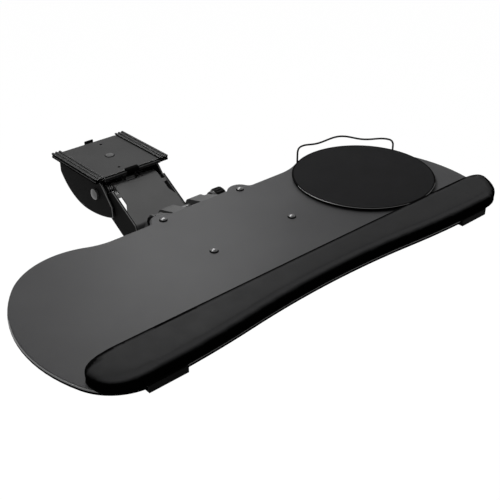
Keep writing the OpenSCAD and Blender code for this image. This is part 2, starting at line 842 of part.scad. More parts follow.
module tilt_spacers() {
    inner = knuckle_out + knuckle_w / 2;
    color(nylon_black) {
        tube_x(tilt_axis, knuckle_out_r - 1, rod_r + run_gap, inner, riser_in);
        tube_x(tilt_axis, knuckle_out_r - 1, rod_r + run_gap, -riser_in, -inner);
    }
}

module knob_washer() {
    color(zinc) tube_x(tilt_axis, knob_r - 2, rod_r + run_gap, riser_out, riser_out + knob_washer_t);
}

// Platform: the tilt bracket, the board and what it carries

// Side view of one knuckle: it reaches from the tilt axis to under the board
module knuckle_outline(r) {
    under = board_bottom - bracket_t;
    translate(tilt_axis) circle(r = r);
    polygon([
        tilt_axis + [0, r], [screw_y + bracket_margin, board_bottom - eps], [screw_y + bracket_margin, under],
        [screw_y - 24, under], tilt_axis + r * [cos(245), sin(245)], tilt_axis
    ]);
}

module tilt_bracket() {
    w = screw_dx + 2 * bracket_margin;
    l = screw_dy + 2 * bracket_margin;
    color(steel_grey) difference() {
        union() {
            translate([-w / 2, screw_y - screw_dy - bracket_margin, board_bottom - bracket_t]) cube([w, l, bracket_t]);
            for (side = [-1, 1]) {
                plate_x(side * knuckle_in - knuckle_in_w / 2, side * knuckle_in + knuckle_in_w / 2)
                    knuckle_outline(knuckle_r);
                plate_x(side * knuckle_out - knuckle_w / 2, side * knuckle_out + knuckle_w / 2)
                    knuckle_outline(knuckle_out_r);
            }
        }
        rod_x(tilt_axis, rod_r + run_gap, -w, w);
        for (at = screw_places)
            translate([at[0], screw_y + at[1], board_bottom - bracket_t - 1])
                cylinder(r = screw_r + screw_gap, h = bracket_t + 2);
        translate([0, screw_y - screw_dy / 2, board_bottom - bracket_t - 1])
            cylinder(r = 0.3 * screw_dy, h = bracket_t + 2);
    }
}

module board() {
    color(board_grey) difference() {
        translate([0, screw_y, board_bottom]) linear_extrude(board_t) polygon(mirrored(board_half));
        for (at = screw_places)
            translate([at[0], screw_y + at[1], board_bottom - 1]) cylinder(r = screw_r + screw_gap, h = board_t + 2);
        for (side = [-1, 1])
            translate([side * clip_x, clip_screw_y, board_bottom - 1])
                cylinder(r = clip_shank_r + screw_gap, h = screw_bite + 1 + screw_gap);
        at_saddles() for (side = [-1, 1])
            translate([0, side * saddle_screw_y, -1])
                cylinder(r = small_screw_r + screw_gap, h = screw_bite + 1 + screw_gap);
    }
}

// Dome-headed screws through the board and the bracket
module board_screws() {
    grip = board_t + bracket_t + nut_h;
    color(zinc) for (at = screw_places)
        translate([at[0], screw_y + at[1], board_top]) union() {
            dome(screw_head_r, screw_head_h);
            translate([0, 0, -grip]) cylinder(r = screw_r, h = grip + eps);
        }
}

module board_nuts() {
    color(zinc) for (at = screw_places)
        translate([at[0], screw_y + at[1], board_bottom - bracket_t - nut_h]) difference() {
            cylinder(r = nut_r, h = nut_h, $fn = 6);
            translate([0, 0, -1]) cylinder(r = screw_r + screw_gap, h = nut_h + 2);
        }
}

// Plan of the palm rest, drawn in by d on all sides
function palm_rear_edge(x) = palm_rear - palm_bow * pow(x / palm_x, 2);
function squared(v) = sign(v) * pow(abs(v), 0.82);
function palm_end_at(a, d) =
    let (
        rear = palm_rear_edge(palm_x) - palm_end_mid,
        fore = palm_end_mid - palm_end_front,
        deep = (a > 0 ? rear : fore) - d
    )
    [palm_x + (palm_end - d) * squared(cos(a)), palm_end_mid + deep * squared(sin(a))];
palm_steps = 12;
end_steps = 14;
function palm_plan(d) = mirrored(concat(
    [for (i = [0 : palm_steps - 1]) let (x = palm_x * i / palm_steps) [x, palm_rear_edge(x) - d]],
    [for (i = [0 : end_steps]) palm_end_at(90 - 180 * i / end_steps, d)],
    [
        for (i = [1 : palm_steps])
            let (x = palm_x * (1 - i / palm_steps)) [x, front_edge(x) - palm_over + d]
    ]
));

module palm_rest_base() {
    color(nylon_black) translate([0, screw_y, board_top]) linear_extrude(palm_base_t) polygon(palm_plan(palm_tuck));
}

// Pad with a drawn-in foot, round top edges and a low crown, as rings of [inset, height]
palm_shoulder = palm_h - palm_crown - palm_round;
palm_rings = concat(
    [[palm_tuck, palm_base_t], [palm_tuck / 4, palm_base_t + 3], [0, palm_shoulder]],
    [for (a = [22.5 : 22.5 : 90]) [palm_round * (1 - cos(a)), palm_shoulder + palm_round * sin(a)]],
    [[palm_round + 3, palm_h - palm_crown / 3], [palm_round + 6, palm_h]]
);

module palm_rest_pad() {
    n = len(palm_plan(0));
    half = n / 2;
    tip = half / 2;
    rings = len(palm_rings);
    points = [for (level = palm_rings, q = palm_plan(level[0])) [q[0], q[1], level[1]]];
    sides = [
        for (i = [0 : rings - 2], k = [0 : n - 1])
            let (a = i * n + k, b = i * n + (k + 1) % n)
            each [[a, b, b + n], [a, b + n, a + n]]
    ];
    // Strips from the rear edge to the front edge, right and then left
    strips = [
        for (k = [0 : tip - 1])
            each [
                [k, k + 1, half - k - 1, half - k],
                [n - k - 1, (n - k) % n, half + k, half + k + 1]
            ]
    ];
    flat = [
        for (q = strips)
            each [
                if (q[1] != q[2]) [q[0], q[1], q[2]],
                if (q[3] != q[0]) [q[0], q[2], q[3]]
            ]
    ];
    under = [for (f = flat) [f[2], f[1], f[0]]];
    crown = [for (f = flat) f + (rings - 1) * n * [1, 1, 1]];
    color(pad_black) translate([0, screw_y, board_top]) polyhedron(points, concat(sides, under, crown));
}

// Clip under the front edge of the board, seen from the side with the board's edge as its origin
module clip_section() {
    difference() {
        translate([-palm_over + 0.3, -board_t - clip_t]) square([clip_reach + palm_over - 0.3, board_t + clip_t]);
        translate([0, -board_t]) square([clip_reach + 1, board_t + 1]);
        translate([clip_reach, -board_t - clip_t]) rotate(45) square(0.6 * clip_t, center = true);
    }
}

module clip(side) {
    x0 = side * clip_x - clip_w / 2;
    color(steel_grey) difference() {
        translate([0, screw_y - board_front, board_top]) plate_x(x0, x0 + clip_w) clip_section();
        translate([side * clip_x, clip_screw_y, board_bottom - clip_t - 1])
            cylinder(r = clip_shank_r + screw_gap, h = clip_t + 2);
    }
}

module clip_left() { clip(-1); }
module clip_right() { clip(1); }

module clip_screws() {
    color(zinc) for (side = [-1, 1])
        translate([side * clip_x, clip_screw_y, board_bottom - clip_t]) union() {
            mirror([0, 0, 1]) dome(clip_screw_r, clip_screw_h);
            translate([0, 0, -eps]) cylinder(r = clip_shank_r, h = clip_t + screw_bite);
        }
}

module mouse_disc() {
    color(nylon_black) translate([disc_c[0], screw_y + disc_c[1], board_top])
        cylinder(r = mat_r - disc_undercut, h = disc_t, $fn = 96);
}

module mouse_mat() {
    color(mat_black) translate([disc_c[0], screw_y + disc_c[1], board_top + disc_t])
        cylinder(r = mat_r, h = mat_t, $fn = 96);
}

// Guard of bent wire behind the mouse disc: two feet under the board and three crests
foot_drop = 1.6;
foot_z = -board_t - foot_drop - wire_r;
function guard_at(a, z, r = guard_r) = [guard_c[0] + r * cos(a), guard_c[1] + r * sin(a), z];
function wave_z(a) = crest_h - dip_h / 2 + dip_h / 2 * cos(360 * (a - guard_mid) / crest_step);
function guard_foot(a, turn) =
    let (knee = wave_z(a + turn * 3.5) - 7, b = foot_bend)
    concat(
        [guard_at(a, foot_z, guard_r - foot_l)],
        [for (i = [0 : 4]) let (t = 22.5 * i) guard_at(a, foot_z + b * (1 - cos(t)), guard_r - b + b * sin(t))],
        [
            guard_at(a, knee),
            guard_at(a + turn * 0.25, knee + 2.6),
            guard_at(a + turn * 0.95, knee + 4.9),
            guard_at(a + turn * 2.1, knee + 6.4)
        ]
    );
function reversed(p) = [for (i = [len(p) - 1 : -1 : 0]) p[i]];
wave_from = guard_ends[0] - 3.5;
wave_to = guard_ends[1] + 3.5;
guard_path = concat(
    guard_foot(guard_ends[0], -1),
    [for (i = [0 : 28]) let (a = wave_from + (wave_to - wave_from) * i / 28) guard_at(a, wave_z(a))],
    reversed(guard_foot(guard_ends[1], 1))
);

module mouse_guard() {
    color(zinc) translate([0, screw_y, board_top]) swept_tube(guard_path, wire_r, 8, [0.31, 0.17, 0.05]);
}

// Saddles screwed under the board over the guard's feet
saddle_mid = guard_r - 0.62 * foot_l;
saddle_screw_y = wire_r + 3.2 * small_screw_r;
saddle_l = 2 * saddle_screw_y + saddle_w;
saddle_h = 2 * wire_r + foot_drop + saddle_t;
module at_saddles() {
    for (a = guard_ends)
        translate([guard_c[0], screw_y + guard_c[1], board_bottom]) rotate(a)
            translate([saddle_mid, 0, 0]) children();
}

module guard_saddles() {
    color(steel_grey) at_saddles() difference() {
        translate([-saddle_w / 2, -saddle_l / 2, -saddle_h]) cube([saddle_w, saddle_l, saddle_h]);
        translate([-saddle_w, -wire_r - 0.1, -2 * wire_r - foot_drop])
            cube([2 * saddle_w, 2 * wire_r + 0.2, 2 * wire_r + foot_drop + 1]);
        for (side = [-1, 1])
            translate([0, side * saddle_screw_y, -saddle_h - 1])
                cylinder(r = small_screw_r + screw_gap, h = saddle_h + 2);
    }
}

module saddle_screws() {
    color(zinc) at_saddles() for (side = [-1, 1])
        translate([0, side * saddle_screw_y, -saddle_h]) union() {
            mirror([0, 0, 1]) dome(2 * small_screw_r, 1.6);
            translate([0, 0, -eps]) cylinder(r = small_screw_r, h = saddle_h + screw_bite);
        }
}

// Knob that clamps the tilt, with grooves for the fingers
module tilt_knob() {
    x0 = riser_out + knob_washer_t;
    grooves = 18;
    color(nylon_black) translate([x0, tilt_axis[0], tilt_axis[1]]) rotate([0, 90, 0]) difference() {
        rotate_extrude($fn = 96)
            polygon([[0, 0], [knob_r - 4, 0], [knob_r, 3], [knob_r, knob_l - 3], [knob_r - 3, knob_l], [0, knob_l]]);
        translate([0, 0, -1]) cylinder(r = rod_r + run_gap, h = 0.6 * knob_l + 1.3);
        for (k = [0 : grooves - 1])
            rotate(360 * k / grooves) translate([knob_r + 0.45 * knob_groove_r, 0, -1])
                cylinder(r = knob_groove_r, h = knob_l + 2, $fn = 24);
        translate([0, 0, knob_l - 1.5]) cylinder(r = knob_r - 7, h = 2);
    }
}

trolley_plate();
glide_left();
glide_right();
front_catch();
rear_bumper();
swivel_washer();
swivel_rivet();
rivet_washer();
swivel_plate();
cheek_left();
cheek_right();
yoke_lugs();
rear_pivot_rod();
rear_pivot_caps();
friction_washers();
link_rear_pin();
spring_left();
spring_right();
arm_cover();
arm_side_left();
arm_side_right();
arm_rear_tube();
arm_front_tube();
level_link();
riser_left();
riser_right();
front_pivot_rod();
front_pivot_caps();
front_washers();
head_cross_bar();
head_lugs();
link_front_pin();
tilt_rod();
tilt_rod_cap();
tilt_spacers();
knob_washer();
tilt_bracket();
board();
board_screws();
board_nuts();
palm_rest_base();
palm_rest_pad();
clip_left();
clip_right();
clip_screws();
mouse_disc();
mouse_mat();
mouse_guard();
guard_saddles();
saddle_screws();
tilt_knob();
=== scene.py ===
# %% [markdown]
# # A keyboard tray that hangs under a desk
#
# A bean-shaped board carries a palm rest, a round mouse surface and a wire guard. It hangs from an arm
# that swivels, lifts and tilts, and the arm's trolley runs in a track under the desk. The solids and
# the joints come from the CAD model, which is loaded as a fixed frame. This lesson lights them as in a
# plain studio, gives each solid rounded edges and a finish, and fills the palm rest's pad.

# %% Load the frame
import json
from math import cos, pi, radians, sin

import bmesh
import bpy
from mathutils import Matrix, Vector

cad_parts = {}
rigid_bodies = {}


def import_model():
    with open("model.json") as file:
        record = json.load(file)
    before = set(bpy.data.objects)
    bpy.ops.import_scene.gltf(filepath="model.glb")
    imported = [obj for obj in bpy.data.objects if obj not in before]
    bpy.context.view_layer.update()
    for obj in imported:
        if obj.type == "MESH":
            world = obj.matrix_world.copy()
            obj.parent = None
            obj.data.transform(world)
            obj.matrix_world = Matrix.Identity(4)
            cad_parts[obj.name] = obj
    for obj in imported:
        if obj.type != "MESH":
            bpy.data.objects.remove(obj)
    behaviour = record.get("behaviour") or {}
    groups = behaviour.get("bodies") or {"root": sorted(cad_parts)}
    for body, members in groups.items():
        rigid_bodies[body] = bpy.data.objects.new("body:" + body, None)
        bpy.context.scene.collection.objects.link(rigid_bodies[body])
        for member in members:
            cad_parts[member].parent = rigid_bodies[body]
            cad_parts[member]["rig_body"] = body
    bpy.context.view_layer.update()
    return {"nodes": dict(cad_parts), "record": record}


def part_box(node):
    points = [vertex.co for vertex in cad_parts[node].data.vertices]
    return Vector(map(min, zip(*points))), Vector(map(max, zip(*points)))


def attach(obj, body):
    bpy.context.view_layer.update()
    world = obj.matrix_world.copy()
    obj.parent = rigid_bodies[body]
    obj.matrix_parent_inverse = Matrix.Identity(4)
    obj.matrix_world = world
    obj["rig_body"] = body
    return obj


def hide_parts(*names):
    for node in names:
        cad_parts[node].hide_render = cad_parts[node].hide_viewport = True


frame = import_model()
scene = bpy.context.scene
mm = 0.001

# %% [markdown]
# ## The camera
#
# The tray was seen from the user's left, a little above the board. The camera could be placed by eye,
# but four screws on a flat board and a square trolley fix it well: its direction, its distance and its
# lens were worked out from them. Only two angles, a distance, a lens and a target are needed here.

# %% Place the camera
azimuth = radians(-41.38)
elevation = radians(31.12)
distance = 1.076
looked_at = Vector((-0.0315, -0.3626, 0.004))
away = Vector((sin(azimuth) * cos(elevation), -cos(azimuth) * cos(elevation), sin(elevation)))
camera = bpy.data.objects.new("camera", bpy.data.cameras.new("camera"))
camera.data.sensor_width = 36
camera.data.lens = 62.2
camera.location = looked_at + away * distance
camera.rotation_euler = away.to_track_quat("Z", "Y").to_euler()
scene.collection.objects.link(camera)
scene.camera = camera
scene.view_settings.view_transform = "Standard"
print("camera at", [round(v, 3) for v in camera.location])

# %% [markdown]
# ## The studio
#
# Product pictures like this one are taken in a white room with soft lamps. The world is the room: the
# camera and shiny metal see it as white, while it lights the tray only as much as pale walls would. A
# large lamp hangs above and behind the tray, so level faces are lit and those towards the user stay
# dark. A small one behind the board gives it a broad gloss, and one on the left draws thin light lines
# along rounded edges. One big lamp would be simpler, but would show no gloss.

# %% Light the room
room_light = 0.12
seen_light = 1.0
world = bpy.data.worlds.new("white_room")
world.use_nodes = True
scene.world = world


def larger(tree, first, second):
    """The larger of two values."""
    pick = tree.nodes.new("ShaderNodeMath")
    pick.operation = "MAXIMUM"
    tree.links.new(first, pick.inputs[0])
    tree.links.new(second, pick.inputs[1])
    return pick.outputs[0]


def seen_directly(tree):
    """One where a ray comes from the camera, a reflection or a clear piece, and zero elsewhere."""
    path = tree.nodes.new("ShaderNodeLightPath")
    either = larger(tree, path.outputs["Is Camera Ray"], path.outputs["Is Glossy Ray"])
    return larger(tree, either, path.outputs["Is Transmission Ray"])


room = world.node_tree
brightness = room.nodes.new("ShaderNodeMapRange")
brightness.inputs["To Min"].default_value = room_light
brightness.inputs["To Max"].default_value = seen_light
room.links.new(seen_directly(room), brightness.inputs["Value"])
background = room.nodes["Background"]
background.inputs["Color"].default_value = (1, 1, 1, 1)
room.links.new(brightness.outputs["Result"], background.inputs["Strength"])


def soft_lamp(name, place, aim, size, power):
    """A square lamp of that many metres and watts, turned towards the aim."""
    lamp = bpy.data.objects.new(name, bpy.data.lights.new(name, "AREA"))
    lamp.data.size = size
    lamp.data.energy = power
    lamp.location = place
    lamp.rotation_euler = (Vector(place) - Vector(aim)).to_track_quat("Z", "Y").to_euler()
    scene.collection.objects.link(lamp)


soft_lamp("lamp_overhead", place=(-0.25, 0.75, 1.85), aim=(-0.05, -0.33, 0), size=0.9, power=32)
soft_lamp("lamp_behind", place=(0.38, 0.38, 0.69), aim=(-0.15, -0.36, 0), size=0.42, power=7.2)
soft_lamp("lamp_left", place=(-1.25, 0.1, 0.95), aim=(-0.1, -0.15, 0), size=0.25, power=1.5)

# %% [markdown]
# ## The floor
#
# The tray hangs just above a user's knees, so the floor lies well below it and gets only a faint
# shadow. A plain grid is enough. Its surface is part paint and part glow: the glow keeps it white for
# the camera, and the paint still takes the shadow.

# %% Lay the floor
floor_reach = 9
floor_height = -0.65
paint_grey = 0.3
glow_strength = 1.1
glow_share = 0.9


def mesh_from(shape, name):
    """A mesh with the form of a bmesh, which is then let go."""
    mesh = bpy.data.meshes.new(name)
    shape.to_mesh(mesh)
    shape.free()
    return mesh


ground = bmesh.new()
bmesh.ops.create_grid(ground, x_segments=1, y_segments=1, size=floor_reach)
bmesh.ops.translate(ground, verts=ground.verts, vec=(0, 0, floor_height))
floor = bpy.data.objects.new("floor", mesh_from(ground, "floor"))
scene.collection.objects.link(floor)

floor_paint = bpy.data.materials.new("floor_paint")
floor_paint.use_nodes = True
tree = floor_paint.node_tree
tree.nodes.clear()
paint = tree.nodes.new("ShaderNodeBsdfDiffuse")
paint.inputs["Color"].default_value = (paint_grey, paint_grey, paint_grey, 1)
glow = tree.nodes.new("ShaderNodeEmission")
glow.inputs["Strength"].default_value = glow_strength
glowing = tree.nodes.new("ShaderNodeMath")
glowing.operation = "MULTIPLY"
glowing.inputs[1].default_value = glow_share
both = tree.nodes.new("ShaderNodeMixShader")
surface = tree.nodes.new("ShaderNodeOutputMaterial")
tree.links.new(seen_directly(tree), glowing.inputs[0])
tree.links.new(glowing.outputs[0], both.inputs["Fac"])
tree.links.new(paint.outputs[0], both.inputs[1])
tree.links.new(glow.outputs[0], both.inputs[2])
tree.links.new(both.outputs[0], surface.inputs["Surface"])
floor.data.materials.append(floor_paint)
print("floor at", floor_height, "m")

# %% [markdown]
# ## How the finishes are built
#
# Every finish starts from the same few nodes. A slow noise clouds the colour a little, as on any real
# coat, and a fine noise makes the surface slightly uneven. The noise is read in the object's own
# metres, so one scale is right on all pieces: at a scale of 1000 a speck is about a millimetre. Most of
# a noise lies between 0.3 and 0.7, so that part of it is spread over the wanted range.

# %% Make the tools for finishes
noise_low = 0.3
noise_high = 0.7


def new_finish(name):
    """A material with its shader and its node tree at hand."""
    material = bpy.data.materials.new(name)
    material.use_nodes = True
    return material, material.node_tree, material.node_tree.nodes["Principled BSDF"]


def own_metres(tree):
    """The piece's own coordinates, in metres."""
    return tree.nodes.new("ShaderNodeTexCoord").outputs["Object"]


def noise(tree, scale, detail=3.0, rough=0.55, stretch=(1, 1, 1)):
    """Noise at a scale per metre, drawn out along an axis where stretch is small."""
    placed = tree.nodes.new("ShaderNodeMapping")
    placed.inputs["Scale"].default_value = stretch
    texture = tree.nodes.new("ShaderNodeTexNoise")
    texture.inputs["Scale"].default_value = scale
    texture.inputs["Detail"].default_value = detail
    texture.inputs["Roughness"].default_value = rough
    tree.links.new(own_metres(tree), placed.inputs["Vector"])
    tree.links.new(placed.outputs["Vector"], texture.inputs["Vector"])
    return texture.outputs["Fac"]


def between(tree, value, low, high):
    """A noise spread from low to high."""
    spread = tree.nodes.new("ShaderNodeMapRange")
    spread.inputs["From Min"].default_value = noise_low
    spread.inputs["From Max"].default_value = noise_high
    spread.inputs["To Min"].default_value = low
    spread.inputs["To Max"].default_value = high
    tree.links.new(value, spread.inputs["Value"])
    return spread.outputs["Result"]


def shades(tree, value, dark, light):
    """A colour that runs from dark to light with a noise."""
    ramp = tree.nodes.new("ShaderNodeValToRGB")
    ramp.color_ramp.elements[0].position = noise_low
    ramp.color_ramp.elements[0].color = (*dark, 1)
    ramp.color_ramp.elements[1].position = noise_high
    ramp.color_ramp.elements[1].color = (*light, 1)
    tree.links.new(value, ramp.inputs["Fac"])
    return ramp.outputs["Color"]


def bumps(tree, value, height):
    """A normal that follows the value as hills of that height in metres."""
    bump = tree.nodes.new("ShaderNodeBump")
    bump.inputs["Distance"].default_value = height
    tree.links.new(value, bump.inputs["Height"])
    return bump.outputs["Normal"]


print("tools for finishes are ready")

# %% [markdown]
# ## Powder coat
#
# The pressed steel of the trolley and the arm is powder coated. The powder melts into a satin skin
# with a fine orange peel. Paint that is simply grey would look like paper, so two noises are laid over
# each other: a fine one for the peel and a slow one for the uneven thickness of the coat. The arm's
# cover, the bracket, the trolley and the yoke get four greys of this one coat, from dark grey to black:
# the cover's light grey is painted light, and the yoke's black is painted shade.

# %% Mix the powder coat


def powder_coat(name, dark, light, level=0.03):
    """Coated steel between two greys, with a level of shine."""
    material, tree, shader = new_finish(name)
    clouds = noise(tree, scale=14, detail=4)
    tree.links.new(shades(tree, clouds, (dark,) * 3, (light,) * 3), shader.inputs["Base Color"])
    peel = noise(tree, scale=1400, detail=2)
    tree.links.new(between(tree, peel, 0.42, 0.56), shader.inputs["Roughness"])
    tree.links.new(bumps(tree, peel, 0.12 * mm), shader.inputs["Normal"])
    shader.inputs["Specular IOR Level"].default_value = level
    return material


# One coat in four greys: the satin grey is painted light, and the black one is painted shade.
finishes = {"powder_coat": powder_coat("satin_powder_coat", dark=0.098, light=0.114)}
bracket_coat = powder_coat("bracket_powder_coat", dark=0.068, light=0.080)
dark_coat = powder_coat("dark_powder_coat", dark=0.027, light=0.033)
painted_shade_coat = powder_coat("painted_shade_powder_coat", dark=0.013, light=0.017, level=0.01)
print("mixed", [coat.name for coat in (finishes["powder_coat"], bracket_coat, dark_coat, painted_shade_coat)])

# %% [markdown]
# ## The board's laminate
#
# The board is a quarter-inch sheet of solid laminate. Its face is matt charcoal with a fine stipple
# that keeps it from glaring. The stipple is a fine noise with some roughness to it, and a faint cloud
# over the whole sheet stands for the handling that a desk top gets.

# %% Press the laminate


def board_laminate():
    """Matt charcoal sheet with a fine stipple."""
    material, tree, shader = new_finish("charcoal_laminate")
    clouds = noise(tree, scale=9, detail=5)
    charcoal = shades(tree, clouds, (0.034, 0.034, 0.035), (0.041, 0.041, 0.042))
    tree.links.new(charcoal, shader.inputs["Base Color"])
    stipple = noise(tree, scale=1100, detail=4, rough=0.65)
    tree.links.new(between(tree, stipple, 0.34, 0.46), shader.inputs["Roughness"])
    tree.links.new(bumps(tree, stipple, 0.14 * mm), shader.inputs["Normal"])
    shader.inputs["Specular IOR Level"].default_value = 0.05
    return material


finishes["board_laminate"] = board_laminate()
print("pressed", finishes["board_laminate"].name)

# %% [markdown]
# ## The palm rest's cover
#
# The cover is a thin smooth skin over foam, black with a low sheen and a grain like fine leather. A
# Voronoi pattern gives the small cells of such a grain. Its distance to the cell's edge is used,
# because the creases of leather run along the edges.
#
# The skin is painted black as shade at its sides and along its rear and its right end, and lighter at
# the front as a highlight. A painted mask would need a map of the skin, but the way that the skin faces
# tells these places apart just as well. The pad stores that way at every point, and the colour follows
# it.

# %% Grain the cover
# Colours of the cover's painted shade and painted highlight.
painted_shade_black = (0.0022, 0.0022, 0.0024)
painted_highlight_grey = (0.050, 0.050, 0.051)


def fades_in(tree, value, start, end):
    """Zero where the value is at start, and one where it is at end."""
    fade = tree.nodes.new("ShaderNodeMapRange")
    fade.inputs["From Min"].default_value = start
    fade.inputs["From Max"].default_value = end
    tree.links.new(value, fade.inputs["Value"])
    return fade.outputs["Result"]


def painted(tree, under, colour, where):
    """A colour laid over another one where the mask is one."""
    layer = tree.nodes.new("ShaderNodeMix")
    layer.data_type = "RGBA"
    layer.inputs["B"].default_value = (*colour, 1)
    tree.links.new(where, layer.inputs["Factor"])
    tree.links.new(under, layer.inputs["A"])
    return layer.outputs["Result"]


def palm_cover():
    """Grained skin, painted black as shade at the sides, rear and right end, and lighter at the front as a
    highlight.
    """
    material, tree, shader = new_finish("grained_cover")
    skin = tree.nodes.new("ShaderNodeAttribute")
    skin.attribute_name = "facing"
    facing = tree.nodes.new("ShaderNodeSeparateXYZ")
    tree.links.new(skin.outputs["Vector"], facing.inputs["Vector"])
    shaded_side = fades_in(tree, facing.outputs["Z"], 0.88, 0.45)
    to_right_or_rear = larger(tree, facing.outputs["X"], facing.outputs["Y"])
    shaded_rear = fades_in(tree, to_right_or_rear, 0.06, 0.15)
    highlit_front = fades_in(tree, facing.outputs["Y"], -0.12, -0.45)
    clouds = noise(tree, scale=18, detail=4)
    top = shades(tree, clouds, (0.0190, 0.0190, 0.0194), (0.0220, 0.0220, 0.0224))
    with_highlight = painted(tree, top, painted_highlight_grey, highlit_front)
    with_shade = painted(tree, with_highlight, painted_shade_black, larger(tree, shaded_side, shaded_rear))
    tree.links.new(with_shade, shader.inputs["Base Color"])
    cells = tree.nodes.new("ShaderNodeTexVoronoi")
    cells.feature = "DISTANCE_TO_EDGE"
    cells.inputs["Scale"].default_value = 720
    tree.links.new(own_metres(tree), cells.inputs["Vector"])
    creases = fades_in(tree, cells.outputs["Distance"], 0, 0.22)
    tree.links.new(bumps(tree, creases, 0.04 * mm), shader.inputs["Normal"])
    handled = noise(tree, scale=60, detail=3)
    tree.links.new(between(tree, handled, 0.40, 0.50), shader.inputs["Roughness"])
    shader.inputs["Specular IOR Level"].default_value = 0.015
    return material


finishes["palm_cover"] = palm_cover()
print("grained", finishes["palm_cover"].name)

# %% [markdown]
# ## Cloth for the mouse mat
#
# The mat's face is a fine black cloth. A print of a weave would need a UV map, but the mat is flat, so
# two sets of bands at right angles do as well: where the threads cross, the bands add up. A little
# sheen gives the dusty look of cloth.

# %% Weave the mat's cloth


def mat_cloth():
    """Fine black cloth of two crossing sets of threads."""
    material, tree, shader = new_finish("mat_cloth")
    clouds = noise(tree, scale=30, detail=4)
    black = shades(tree, clouds, (0.0096, 0.0096, 0.0100), (0.0112, 0.0112, 0.0117))
    tree.links.new(black, shader.inputs["Base Color"])
    threads = tree.nodes.new("ShaderNodeMath")
    threads.operation = "ADD"
    for socket, direction in enumerate(("X", "Y")):
        bands = tree.nodes.new("ShaderNodeTexWave")
        bands.bands_direction = direction
        bands.inputs["Scale"].default_value = 420
        bands.inputs["Distortion"].default_value = 0.6
        tree.links.new(own_metres(tree), bands.inputs["Vector"])
        tree.links.new(bands.outputs["Fac"], threads.inputs[socket])
    tree.links.new(bumps(tree, threads.outputs[0], 0.08 * mm), shader.inputs["Normal"])
    fluff = noise(tree, scale=900, detail=2)
    tree.links.new(between(tree, fluff, 0.78, 0.92), shader.inputs["Roughness"])
    shader.inputs["Specular IOR Level"].default_value = 0.02
    shader.inputs["Sheen Weight"].default_value = 0.02
    shader.inputs["Sheen Roughness"].default_value = 0.4
    return material


finishes["mouse_mat"] = mat_cloth()
print("woven", finishes["mouse_mat"].name)

# %% [markdown]
# ## Moulded plastic, nylon and rubber
#
# The glides, the knob and the disc are moulded. A mould is etched so that the plastic comes out with an
# even fine grain. Nylon washers are smoother, and the rubber bumper is dull. They differ only in a few
# numbers, so one recipe makes them all.

# %% Mould the plastics


def moulded(name, dark, light, grain, height, shine, dull, level):
    """Etched plastic between two greys, with a grain of so many specks a metre."""
    material, tree, shader = new_finish(name)
    clouds = noise(tree, scale=25, detail=3)
    tree.links.new(shades(tree, clouds, (dark,) * 3, (light,) * 3), shader.inputs["Base Color"])
    etched = noise(tree, scale=grain, detail=3, rough=0.6)
    tree.links.new(between(tree, etched, shine, dull), shader.inputs["Roughness"])
    tree.links.new(bumps(tree, etched, height), shader.inputs["Normal"])
    shader.inputs["Specular IOR Level"].default_value = level
    return material


finishes["moulded_black"] = moulded(
    "moulded_grain", dark=0.018, light=0.023, grain=1700, height=0.10 * mm, shine=0.40, dull=0.52, level=0.03
)
finishes["nylon"] = moulded(
    "smooth_nylon", dark=0.022, light=0.028, grain=500, height=0.03 * mm, shine=0.32, dull=0.42, level=0.08
)
finishes["rubber_black"] = moulded(
    "dull_rubber", dark=0.009, light=0.013, grain=900, height=0.08 * mm, shine=0.70, dull=0.85, level=0.05
)
print("moulded", [finishes[slot].name for slot in ("moulded_black", "nylon", "rubber_black")])

# %% [markdown]
# ## Black steel, screws, wire and spring steel
#
# Small steel parts are blackened and oiled, the screws are glossier, and the guard's wire is coated.
# Drawn wire and turned rods carry fine marks along their length, so their noise is stretched along X,
# which is the way that most of the rods lie.

# %% Finish the steel


def drawn_steel(name, dark, light, shine, dull, level, metallic=0.0):
    """Steel between two greys, with fine marks along X."""
    material, tree, shader = new_finish(name)
    clouds = noise(tree, scale=40, detail=4)
    tree.links.new(shades(tree, clouds, (dark,) * 3, (light,) * 3), shader.inputs["Base Color"])
    marks = noise(tree, scale=900, detail=3, rough=0.6, stretch=(0.15, 1, 1))
    tree.links.new(between(tree, marks, shine, dull), shader.inputs["Roughness"])
    tree.links.new(bumps(tree, marks, 0.03 * mm), shader.inputs["Normal"])
    shader.inputs["Specular IOR Level"].default_value = level
    shader.inputs["Metallic"].default_value = metallic
    return material


finishes["black_steel"] = drawn_steel(
    "oiled_black_steel", dark=0.022, light=0.030, shine=0.30, dull=0.44, level=0.3
)
finishes["black_screws"] = drawn_steel(
    "glossy_black_screw", dark=0.030, light=0.042, shine=0.20, dull=0.30, level=0.6
)
finishes["guard_wire"] = drawn_steel(
    "coated_wire", dark=0.005, light=0.008, shine=0.40, dull=0.52, level=0.06
)
finishes["spring_steel"] = drawn_steel(
    "drawn_spring_steel", dark=0.26, light=0.36, shine=0.24, dull=0.40, level=0.5, metallic=1.0
)
slots = {m["slot"] for m in frame["record"]["materials"]}
print("finishes still missing:", sorted(slots - set(finishes)))

# %% [markdown]
# ## Rubbed edges with a painted highlight
#
# A coat is thinnest on an edge, and hands and cloths polish it there. The edge of each finish is
# therefore a copy of it that is smoother and shinier, and also lighter, which is a painted highlight. It
# could be painted by hand, but the rounded edges are faces of their own here, so they can simply be
# given the copy. Where an edge must stay dark, a dull black is used instead, as painted shade.

# %% Polish the edges and paint their highlight
usual_edge_highlight = {"lighter": 1.2, "shine": 0.26, "level": 0.8}
strong_edge_highlight = {"board_laminate": {"lighter": 2.6, "shine": 0.2, "level": 1.0}}


